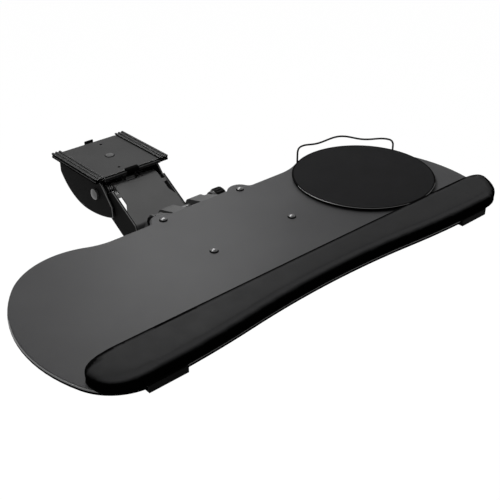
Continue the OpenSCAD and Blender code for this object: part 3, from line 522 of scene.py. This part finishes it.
def polished_and_highlighted(finish, lighter, shine, level):
    """A copy of a finish for its edges: shinier, and lighter as a painted highlight."""
    edge = finish.copy()
    edge.name = finish.name + "_edge"
    for part in edge.node_tree.nodes:
        if part.type == "VALTORGB":
            for stop in part.color_ramp.elements:
                stop.color = (*(lighter * c for c in stop.color[:3]), 1)
    shader = edge.node_tree.nodes["Principled BSDF"]
    for link in shader.inputs["Roughness"].links:
        link.from_node.inputs["To Min"].default_value = shine
        link.from_node.inputs["To Max"].default_value = shine + 0.1
    shader.inputs["Specular IOR Level"].default_value = level
    return edge


edges = {slot: polished_and_highlighted(finish, **strong_edge_highlight.get(slot, usual_edge_highlight)) for slot, finish in finishes.items()}
dark_edge = polished_and_highlighted(dark_coat, **usual_edge_highlight)
# The caps' copy is twice as light, which is a painted highlight on their domes.
highlighted_cap = polished_and_highlighted(finishes["black_screws"], lighter=2.0, shine=0.3, level=1.0)
# Dull black: painted shade in holes, grooves, rims and the board's nose, and the own colour of a few black
# parts.
black_and_painted_shade = moulded(
    "black_and_painted_shade", dark=0.004, light=0.006, grain=900, height=0.05 * mm, shine=0.55, dull=0.7, level=0.0
)
print("polished_and_highlighted", len(edges), "edges")

# %% [markdown]
# ## Rounded edges for the CAD solids
#
# No pressed or moulded edge is truly sharp, and the thin light along a rounded edge is what makes a
# part look real. The CAD mesh is never changed, so each node is copied. Its loose triangles are merged
# and its flat faces joined again, and then its crisp edges get a small round by bevel. A piece has a
# coat for its faces, one for its rounded edges and, on a few pieces, a third that paints shade where
# it stays dark.

# %% Copy and round a node
slot_of = {s["node"]: s["material_slot"] for s in frame["record"]["subparts"]}
face_coat, edge_coat, painted_shade_slot = range(3)
weld = 0.004 * mm
flat_within = radians(0.4)
smooth_within = radians(40)
crisp_from = radians(35)
wide_round = 1 * mm


def shown(name, mesh):
    """A new object with that mesh, shaded smooth except at its crisp edges."""
    mesh.shade_smooth()
    mesh.set_sharp_from_angle(angle=smooth_within)
    piece = bpy.data.objects.new(name, mesh)
    scene.collection.objects.link(piece)
    flat = piece.modifiers.new("flat_faces_stay_flat", "WEIGHTED_NORMAL")
    flat.keep_sharp = True
    return piece


def dress(piece, node, *coats):
    """Put coats on a piece, hang it on the node's body and let it stand for the node."""
    for coat in coats or (finishes[slot_of[node]], edges[slot_of[node]]):
        piece.data.materials.append(coat)
    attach(piece, frame["nodes"][node]["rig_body"])
    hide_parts(node)
    return piece


def merged(node):
    """A bmesh of a node's solid, with its triangles merged and its flat faces whole."""
    solid = bmesh.new()
    solid.from_mesh(frame["nodes"][node].data)
    bmesh.ops.remove_doubles(solid, verts=solid.verts, dist=weld)
    bmesh.ops.dissolve_limit(solid, angle_limit=flat_within, verts=solid.verts, edges=solid.edges)
    return solid


def crisp_edges(solid):
    """The edges where two faces meet at a clear angle."""
    return [e for e in solid.edges if e.is_manifold and e.calc_face_angle() > crisp_from]


def rounded(solid, chosen, radius, segments):
    """Round the chosen edges by a radius and give their new faces the edge's coat."""
    made = bmesh.ops.bevel(
        solid,
        geom=chosen,
        offset=radius,
        offset_type="OFFSET",
        segments=segments,
        profile=0.5,
        affect="EDGES",
        clamp_overlap=True,
        material=-1,
    )
    for face in made["faces"]:
        face.material_index = edge_coat


def eased(node, radius, *coats):
    """A dressed copy of a node with its crisp edges rounded, in more steps where the round is wide."""
    solid = merged(node)
    rounded(solid, crisp_edges(solid), radius, segments=4 if radius > wide_round else 2)
    mesh = mesh_from(solid, node + "_dressed")
    return dress(shown(node + "_dressed", mesh), node, *coats)


def dress_all(rounds, coats):
    """Dressed copies of nodes, with the radius of each one's edges in millimetres."""
    return {node: eased(node, radius * mm, *coats.get(node, ())) for node, radius in rounds.items()}


print("slots in use:", len(set(slot_of.values())))

# %% [markdown]
# ## The trolley
#
# The trolley is a pressed plate with a folded lip at each end, a black catch in the front lip and a
# plastic glide along each side. Their shapes are right in the CAD, so they only get rounded edges: a
# small one on the plastic, and a slightly larger one on the pressed plate. The walls of the plate's
# small holes, the walls of the glides' grooves and the rim of the domed rivet are painted black as
# shade, and the rivet's dome has a lighter coat than the plate as a painted highlight. The height
# of a face's normal finds them: it is 1 on a level face and 0 on an upright one.

# %% Dress the trolley
trolley_rounds = {
    "trolley_plate": 0.5,
    "glide_left": 0.35,
    "glide_right": 0.35,
    "front_catch": 0.6,
    "rear_bumper": 0.8,
    "swivel_washer": 0.4,
    "swivel_rivet": 0.3,
    "rivet_washer": 0.3,
}
glide_coats = (finishes["moulded_black"], edges["moulded_black"], black_and_painted_shade)
trolley_coats = {
    "trolley_plate": (dark_coat, dark_edge, black_and_painted_shade),
    "glide_left": glide_coats,
    "glide_right": glide_coats,
    "front_catch": (black_and_painted_shade,) * 2,
    "rear_bumper": (finishes["rubber_black"],) * 2,
    "swivel_rivet": (bracket_coat, black_and_painted_shade),
}
trolley = dress_all(trolley_rounds, trolley_coats)
hole_reach = 50 * mm
level_face = 0.97
groove_wall = 0.5
dome_rim = 0.885
# Painted shade on hole walls, groove walls and the rivet's rim; the rivet's lighter dome is a painted
# highlight.
for face in trolley["trolley_plate"].data.polygons:
    reach = max(abs(face.center.x), abs(face.center.y))
    if abs(face.normal.z) < level_face and reach < hole_reach:
        face.material_index = painted_shade_slot
for glide in (trolley["glide_left"], trolley["glide_right"]):
    for face in glide.data.polygons:
        if abs(face.normal.z) < groove_wall:
            face.material_index = painted_shade_slot
for face in trolley["swivel_rivet"].data.polygons:
    face.material_index = edge_coat if face.normal.z < dome_rim else face_coat
print("dressed", len(trolley), "pieces of the trolley")

# %% [markdown]
# ## The yoke and the arm
#
# The yoke's cheeks and the arm's plates are cut and folded from sheet about 3 mm thick. Their edges are
# tumbled smooth before they are coated, so the cheeks and the arm's sides get a wide round that catches
# the light. The cheeks, the swivel plate, the lugs and the arm's sides have the cover's coat, but are
# painted black as shade. The rods, tubes and caps are turned, with a light chamfer that a bevel of two
# segments stands for, and the domed caps of the rear pivot are polished and painted lighter as a
# highlight.

# %% Dress the yoke and the arm
arm_rounds = {
    "swivel_plate": 0.5,
    "cheek_left": 1.2,
    "cheek_right": 1.2,
    "yoke_lugs": 0.5,
    "rear_pivot_rod": 0.4,
    "rear_pivot_caps": 0.4,
    "friction_washers": 0.4,
    "link_rear_pin": 0.3,
    "arm_cover": 1.0,
    "arm_side_left": 1.6,
    "arm_side_right": 1.6,
    "arm_rear_tube": 0.4,
    "arm_front_tube": 0.4,
    "level_link": 0.8,
}
# These pieces are painted black as shade.
shaded_pieces = ("swivel_plate", "cheek_left", "cheek_right", "yoke_lugs", "arm_side_left", "arm_side_right")
arm_coats = {node: (painted_shade_coat, dark_edge) for node in shaded_pieces}
arm_coats["rear_pivot_caps"] = (highlighted_cap,) * 2
arm = dress_all(arm_rounds, arm_coats)
print("dressed", len(arm), "pieces of the yoke and the arm")

# %% [markdown]
# ## The head and the tilt bracket
#
# Two bent risers carry the tilt rod, and the bracket under the board turns on it. They are dressed in
# the same way as the arm. The knob has finger grooves that run out at both ends, so its edges get only
# a very small round, which the narrow lands between the grooves still have room for.

# %% Dress the head and the bracket
head_rounds = {
    "riser_left": 0.7,
    "riser_right": 0.7,
    "front_pivot_rod": 0.4,
    "front_pivot_caps": 0.4,
    "front_washers": 0.4,
    "head_cross_bar": 0.4,
    "head_lugs": 0.5,
    "link_front_pin": 0.3,
    "tilt_rod": 0.4,
    "tilt_rod_cap": 0.4,
    "tilt_spacers": 0.4,
    "knob_washer": 0.4,
    "tilt_bracket": 0.8,
    "tilt_knob": 0.25,
}
head_coats = {node: (bracket_coat,) * 2 for node in head_rounds if slot_of[node] == "powder_coat"}
head_coats["tilt_rod_cap"] = (black_and_painted_shade,) * 2
head_coats["tilt_knob"] = (finishes["rubber_black"],) * 2
head = dress_all(head_rounds, head_coats)
print("dressed", len(head), "pieces of the head and the bracket")

# %% [markdown]
# ## The board
#
# The sheet's whole outline is machined to a round nose. Only the outline is rounded, and not the screw
# holes. To tell them apart, the edge is followed as a finger would follow it, from the leftmost point
# round the sheet. The upper half of the nose is painted light on the left as a highlight and dark at
# the front as shade under the palm rest, and its lower half is painted black as shade. The height of a
# face's normal tells the halves apart.

# %% Round the board's edge
low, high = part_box("board")
thickness = high.z - low.z
nose_radius = 0.45 * thickness
level_within = 0.01 * mm
board = merged("board")


def followed(start, among):
    """The edges that are reached from the first one, end to end."""
    found = {start}
    ahead = [start]
    while ahead:
        for v in ahead.pop().verts:
            for e in v.link_edges:
                if e in among and e not in found:
                    found.add(e)
                    ahead.append(e)
    return found


def leftmost(edge):
    """How far left an edge reaches."""
    return min(v.co.x for v in edge.verts)


level_edges = [e for e in crisp_edges(board) if abs(e.verts[0].co.z - e.verts[1].co.z) < level_within]
outline = []
for height in (low.z, high.z):
    rim = {e for e in level_edges if abs(e.verts[0].co.z - height) < level_within}
    outline += followed(min(rim, key=leftmost), rim)
rounded(board, outline, nose_radius, segments=5)
board.normal_update()
print("rounded", len(outline), "edges of a sheet", round(thickness / mm, 1), "mm thick")

# %% [markdown]
# ## The coats of the board
#
# Five coats are laid on by the way that each face points: the face, a lighter upper nose on the left
# that is a painted highlight, a black lower nose and a dark upper nose at the front that are painted
# shade, and a darker underside. Separate pieces could be made for them, but the sheet is one piece,
# and so is this mesh.

# %% Coat the board
laminate_top, painted_highlight_nose, painted_shade_nose, painted_shade_front, underside = range(5)
top_from = 0.75
upper_half_from = 0.2
underside_below = -0.95
front_below = -0.88
rear_from = 0.4
# Painted highlight on the left of the upper nose, painted shade on the lower nose and at the front.
for face in board.faces:
    height = face.normal.z
    outwards = face.normal.xy.normalized()
    if height > top_from:
        face.material_index = laminate_top
    elif height < underside_below:
        face.material_index = underside
    elif height < upper_half_from:
        face.material_index = painted_shade_nose
    elif outwards.y < front_below:
        face.material_index = painted_shade_front
    elif outwards.x < 0 and outwards.y < rear_from:
        face.material_index = painted_highlight_nose
    else:
        face.material_index = laminate_top
board_coats = (
    finishes["board_laminate"],
    edges["board_laminate"],
    black_and_painted_shade,
    edges["moulded_black"],
    finishes["moulded_black"],
)
board_mesh = mesh_from(board, "board_dressed")
dress(shown("board_dressed", board_mesh), "board", *board_coats)
print("coated", len(board_mesh.polygons), "faces of the board")

# %% [markdown]
# ## Screws, clips and the other small pieces on the board
#
# Four domed screws come up through the board, and two clips hold the palm rest's front from below.
# They stand on the board as the CAD places them and need only their edges eased. The screws are
# glossy on top, and their rims are painted black as shade.

# %% Dress the small pieces
small_rounds = {
    "board_screws": 0.3,
    "board_nuts": 0.4,
    "palm_rest_base": 0.5,
    "clip_left": 0.6,
    "clip_right": 0.6,
    "clip_screws": 0.3,
    "mouse_disc": 0.6,
    "guard_saddles": 0.4,
    "saddle_screws": 0.2,
}
small_coats = {
    "board_screws": (finishes["black_screws"], edges["black_screws"], black_and_painted_shade),
    "palm_rest_base": (black_and_painted_shade,) * 2,
    "mouse_disc": (black_and_painted_shade,) * 2,
    "clip_left": (finishes["rubber_black"],) * 2,
    "clip_right": (finishes["rubber_black"],) * 2,
}
small = dress_all(small_rounds, small_coats)
shade_rim_below = 0.8
# Painted shade round the screws' rims.
for face in small["board_screws"].data.polygons:
    if face.normal.z < shade_rim_below:
        face.material_index = painted_shade_slot
print("dressed", len(small), "small pieces")

# %% [markdown]
# ## The mouse mat
#
# The mat is a thin disc with a soft round edge. It could be a cylinder with a bevel, but a turned
# section is closer to how it is made: half of its section is drawn from the middle outwards and then
# spun once round the middle. A black ring is painted round the edge of its top as shade, and the rim
# below it is rubber, painted lighter as a highlight towards the user and on the left.

# %% Turn the mouse mat
# Width of the black ring painted round the top as shade.
dark_ring_width = 1.5 * mm
rim_steps = 8
mat_sides = 160
low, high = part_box("mouse_mat")
mat_centre = Vector(((low.x + high.x) / 2, (low.y + high.y) / 2, 0))
mat_radius = (high.x - low.x) / 2
lip = (high.z - low.z) / 2
flat_radius = mat_radius - lip
mat = bmesh.new()


def section_point(reach, height):
    """A point of the half section, so far from the middle and so high."""
    return mat.verts.new((mat_centre.x + reach, mat_centre.y, height))


section = [section_point(0, low.z), section_point(flat_radius, low.z)]
for step in range(1, rim_steps):
    turn = -pi / 2 + pi * step / rim_steps
    section.append(section_point(flat_radius + lip * cos(turn), low.z + lip + lip * sin(turn)))
section += [section_point(reach, high.z) for reach in (flat_radius, flat_radius - dark_ring_width, 0)]
half = [mat.edges.new(pair) for pair in zip(section, section[1:])]
bmesh.ops.spin(
    mat,
    geom=section + half,
    cent=mat_centre,
    axis=(0, 0, 1),
    angle=2 * pi,
    steps=mat_sides,
    use_merge=True,
)
bmesh.ops.remove_doubles(mat, verts=mat.verts, dist=weld)
bmesh.ops.recalc_face_normals(mat, faces=mat.faces)
mat_mesh = mesh_from(mat, "mouse_mat_cloth")
print("mat of", round(mat_radius / mm, 1), "mm with", len(mat_mesh.polygons), "faces")

# %% [markdown]
# ## The rim of the mat
#
# The rim is painted lighter as a highlight only towards the user and on the left. The rest of it, the
# ring round the top and the underside are painted black as shade. The way that a face points tells
# which coat it gets.

# %% Coat the mat
painted_highlight_rim, painted_shade_rim = 1, 2
# Painted highlight on the near rim, painted shade on the rest of the rim and the ring round the top.
for face in mat_mesh.polygons:
    way = face.normal
    on_rim = way.z < 0.95
    on_lit_side = way.z > 0.3 and way.x < 0.3 and way.y < 0.2
    from_middle = (face.center - mat_centre).xy.length
    if on_rim and on_lit_side:
        face.material_index = painted_highlight_rim
    elif on_rim or from_middle > flat_radius - dark_ring_width:
        face.material_index = painted_shade_rim
mat_coats = (finishes["mouse_mat"], edges["rubber_black"], black_and_painted_shade)
dress(shown("mouse_mat_cloth", mat_mesh), "mouse_mat", *mat_coats)
print("coated the mat with", [coat.name for coat in mat_coats])

# %% [markdown]
# ## The wire guard
#
# One wire is bent into three low crests behind the mat, and its two feet go down past the board's edge
# and back under it. A curve with a round bevel is a wire already: only the line that it follows has to
# be given, with the same sizes as in the CAD.

# %% Draw the guard's line
guard_radius = 107.03 * mm
guard_middle = radians(60.4)
crest_middle = 15.25 * mm
crest_wave = 2.75 * mm
crests_in_a_turn = 9
crest_steps = 40
foot_length = 26 * mm
foot_depth = 9.4 * mm
foot_bend = 5 * mm
foot_turn = radians(3.5)
shoulder_height = 7 * mm
# Degrees along the wire and millimetres up, from the knee to the first crest.
shoulder = ((0.25, 2.6), (0.95, 4.9), (2.1, 6.4))
screw_head = 6 * mm
rear_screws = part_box("board_screws")[1].y - screw_head
guard_centre = Vector((223.7 * mm, rear_screws - 85.7 * mm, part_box("board")[1].z))


def guard_point(angle, height, reach=guard_radius):
    """A point of the wire, seen from the middle of the lobe."""
    return guard_centre + Vector((reach * cos(angle), reach * sin(angle), height))


def crest(angle):
    """Height of the wire along its three crests."""
    return crest_middle + crest_wave * cos(crests_in_a_turn * (angle - guard_middle))


def guard_foot(angle, turn):
    """From the foot under the board up to the first crest."""
    knee = crest(angle + turn * foot_turn) - shoulder_height
    points = [guard_point(angle, -foot_depth, guard_radius - foot_length)]
    points.append(guard_point(angle, -foot_depth, guard_radius - 2 * foot_bend))
    for degrees in range(0, 105, 15):
        bent = radians(degrees)
        height = foot_bend * (1 - cos(bent)) - foot_depth
        points.append(guard_point(angle, height, guard_radius - foot_bend * (1 - sin(bent))))
    points.append(guard_point(angle, knee - 3 * mm))
    points.append(guard_point(angle, knee))
    for ahead, rise in shoulder:
        points.append(guard_point(angle + turn * radians(ahead), knee + rise * mm))
    return points


first = guard_middle + radians(44.4)
last = guard_middle - radians(45)
line = guard_foot(first, -1)
for step in range(crest_steps + 1):
    angle = first - foot_turn + (last - first + 2 * foot_turn) * step / crest_steps
    line.append(guard_point(angle, crest(angle)))
line += reversed(guard_foot(last, 1))
print("guard along", len(line), "points")

# %% [markdown]
# ## From the line to the wire
#
# A NURBS curve rounds the line off as a bending machine would, without a kink at any point. Its bevel
# is the wire's section, and its ends are capped. It is then made a mesh, so that it can be dressed as
# the other pieces are.

# %% Bend the guard
wire_radius = 1.4 * mm


def evaluated_mesh(piece):
    """A new mesh with what a piece looks like once its curve or its modifiers are worked out."""
    return bpy.data.meshes.new_from_object(piece.evaluated_get(bpy.context.evaluated_depsgraph_get()))


guard_curve = bpy.data.curves.new("mouse_guard_wire", "CURVE")
guard_curve.dimensions = "3D"
guard_curve.bevel_depth = wire_radius
guard_curve.bevel_resolution = 4
guard_curve.use_fill_caps = True
spline = guard_curve.splines.new("NURBS")
spline.points.add(len(line) - 1)
for point, place in zip(spline.points, line):
    point.co = (*place, 1)
spline.order_u = 4
spline.use_endpoint_u = True
spline.resolution_u = 3
bent_line = bpy.data.objects.new("guard_line", guard_curve)
scene.collection.objects.link(bent_line)
guard_mesh = evaluated_mesh(bent_line)
bpy.data.objects.remove(bent_line)
guard_mesh.name = "mouse_guard_wire"
dress(shown("mouse_guard_wire", guard_mesh), "mouse_guard", finishes["guard_wire"])
print("guard with", len(guard_mesh.polygons), "faces")

# %% [markdown]
# ## The lift springs
#
# A torsion spring lies on each side of the arm's rear tube. Its wire is a small ring that is spun about
# the tube and moved along it a little at every step, which is what a coiling machine does. The leg is
# the same ring, pushed up under the swivel plate.

# %% Wind the springs
tube_low, tube_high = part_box("arm_rear_tube")
tube_y = (tube_low.y + tube_high.y) / 2
tube_z = (tube_low.z + tube_high.z) / 2
tube_radius = 9 * mm
tube_gap = 1.4 * mm
spring_wire = 1.2 * mm
coil_radius = tube_radius + tube_gap + spring_wire
turns = 7.5
pitch = 3.2 * mm
steps_a_turn = 20
wire_sides = 12


def wound_spring(node, side):
    """One spring, from its leg under the plate round the tube."""
    low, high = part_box(node)
    start = low.x + spring_wire if side > 0 else high.x - spring_wire
    coil = bmesh.new()
    ring = bmesh.ops.create_circle(coil, cap_ends=True, radius=spring_wire, segments=wire_sides)["verts"]
    bmesh.ops.translate(coil, verts=ring, vec=(start, tube_y + coil_radius, high.z))
    leg = bmesh.ops.extrude_face_region(coil, geom=list(coil.faces))["geom"]
    foot = [v for v in leg if isinstance(v, bmesh.types.BMVert)]
    bmesh.ops.translate(coil, verts=foot, vec=(0, 0, tube_z - high.z))
    foot_face = [f for f in leg if isinstance(f, bmesh.types.BMFace)]
    bmesh.ops.delete(coil, geom=foot_face, context="FACES_ONLY")
    foot_rim = [e for e in coil.edges if all(v in foot for v in e.verts)]
    bmesh.ops.spin(
        coil,
        geom=foot + foot_rim,
        cent=(start, tube_y, tube_z),
        axis=(1, 0, 0),
        dvec=(side * pitch / steps_a_turn, 0, 0),
        angle=-2 * pi * turns,
        steps=int(turns * steps_a_turn),
    )
    bmesh.ops.holes_fill(coil, edges=coil.edges, sides=wire_sides)
    bmesh.ops.recalc_face_normals(coil, faces=coil.faces)
    mesh = mesh_from(coil, node + "_wound")
    return dress(shown(node + "_wound", mesh), node, finishes["spring_steel"])


for node, side in (("spring_right", 1), ("spring_left", -1)):
    spring = wound_spring(node, side)
    print(spring.name, "with", len(spring.data.polygons), "faces")

# %% [markdown]
# ## The core of the palm rest's pad
#
# The pad is foam under a thin cover, so it is made as a cushion is: from a core that is a little too
# small for its place. The CAD form is copied, drawn in all over except at its flat underside, and
# remeshed into even squares, which a simulation needs.

# %% Cut the pad's core
pad_low, pad_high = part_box("palm_rest_pad")
drawn_in = 0.8 * mm
underside_height = 1 * mm
square_size = 2.2 * mm
core = bmesh.new()
core.from_mesh(frame["nodes"]["palm_rest_pad"].data)
bmesh.ops.remove_doubles(core, verts=core.verts, dist=weld)
core.normal_update()
for v in core.verts:
    if v.co.z > pad_low.z + underside_height:
        v.co -= v.normal * drawn_in
pad = bpy.data.objects.new("palm_rest_cushion", mesh_from(core, "palm_rest_cushion"))
scene.collection.objects.link(pad)
squares = pad.modifiers.new("even_squares", "REMESH")
squares.mode = "VOXEL"
squares.voxel_size = square_size


def settle(piece):
    """Apply a piece's modifiers to its mesh."""
    done = evaluated_mesh(piece)
    piece.modifiers.clear()
    piece.data = done


settle(pad)
print("core of", len(pad.data.polygons), "squares")

# %% [markdown]
# ## The blunt right end
#
# The pad's right end is fuller than its left one: its rear edge runs on, and turns at a tighter corner.
# A second outline could be drawn for it, but the foam is soft, so the points near that corner are
# simply drawn outwards, more and more towards the corner.

# %% Blunt the right end
corner_pull = Vector((14, 3, 0)) * mm
end_length = 45 * mm
pull_from = 52 * mm
pull_full = 8 * mm


def gently(value, start, end):
    """How far a value is on its way from start to end, slow at both ends."""
    part = min(max((value - start) / (end - start), 0), 1)
    return part * part * (3 - 2 * part)


for v in pad.data.vertices:
    along = gently(v.co.x, pad_high.x - end_length, pad_high.x)
    rearwards = gently(v.co.y, pad_high.y - pull_from, pad_high.y - pull_full)
    v.co += corner_pull * along * rearwards
pad.data.update()
print("right end reaches", round(max(v.co.x for v in pad.data.vertices) / mm, 1), "mm")

# %% [markdown]
# ## The swollen pad
#
# The core is blown up by a cloth simulation with some pressure and no gravity. Its underside is held,
# because it is glued to a base. A point may move only straight outwards and not far, so the pad keeps
# its line, and a few rounds of smoothing take the last dents out of the skin. Scaling the core would be
# quicker, but would not fill it more where it is wide.

# %% Swell the pad
most_swelling = 0.9 * mm
glued_height = 2 * mm
pressure = 4
frames = 20
smoothing_rounds = 8
before = [(v.co.copy(), v.normal.copy()) for v in pad.data.vertices]
glued = pad.vertex_groups.new(name="glued")
glued.add([v.index for v in pad.data.vertices if v.co.z < pad_low.z + glued_height], 1, "REPLACE")
cloth = pad.modifiers.new("swelling", "CLOTH")
cloth.settings.use_pressure = True
cloth.settings.uniform_pressure_force = pressure
cloth.settings.effector_weights.gravity = 0
cloth.settings.vertex_group_mass = "glued"
cloth.settings.tension_stiffness = 30
cloth.settings.quality = 6
for step in range(1, frames + 1):
    scene.frame_set(step)
settle(pad)
scene.frame_set(1)
for v, (rest, outwards) in zip(pad.data.vertices, before):
    v.co = rest + outwards * min(max((v.co - rest).dot(outwards), 0), most_swelling)
even = bmesh.new()
even.from_mesh(pad.data)
skin = [v for v in even.verts if v.co.z > pad_low.z + glued_height]
for _ in range(smoothing_rounds):
    bmesh.ops.smooth_vert(even, verts=skin, factor=0.5, use_axis_x=True, use_axis_y=True, use_axis_z=True)
even.to_mesh(pad.data)
even.free()
pad.data.shade_smooth()
print("pad of", len(pad.data.vertices), "points, swollen by up to", most_swelling / mm, "mm")

# %% [markdown]
# ## The cover's painted shade
#
# The cover's colour follows the way that the skin faces, so each point stores that way. The sides, the
# rear and the right end also get a dull black coat of their own, which is painted shade.

# %% Paint shade on the cover
shade_below = 0.45
shade_from = 0.17
facing = pad.data.attributes.new("facing", "FLOAT_VECTOR", "POINT")
for v in pad.data.vertices:
    facing.data[v.index].vector = v.normal
painted_shade_band = moulded(
    "painted_shade_side_band", dark=0.0020, light=0.0028, grain=900, height=0.05 * mm, shine=0.8, dull=0.9, level=0.0
)
dress(pad, "palm_rest_pad", finishes["palm_cover"], painted_shade_band)
# Faces that turn to the side, the rear or the right get the black coat as painted shade.
for face in pad.data.polygons:
    in_shade = face.normal.z < shade_below or max(face.normal.xy) > shade_from
    face.material_index = edge_coat if in_shade else face_coat
print("band on", sum(face.material_index == edge_coat for face in pad.data.polygons), "faces of the pad")

# %% [markdown]
# ## Finish
#
# The view layer is brought up to date at the end.

# %% Finish
bpy.context.view_layer.update()
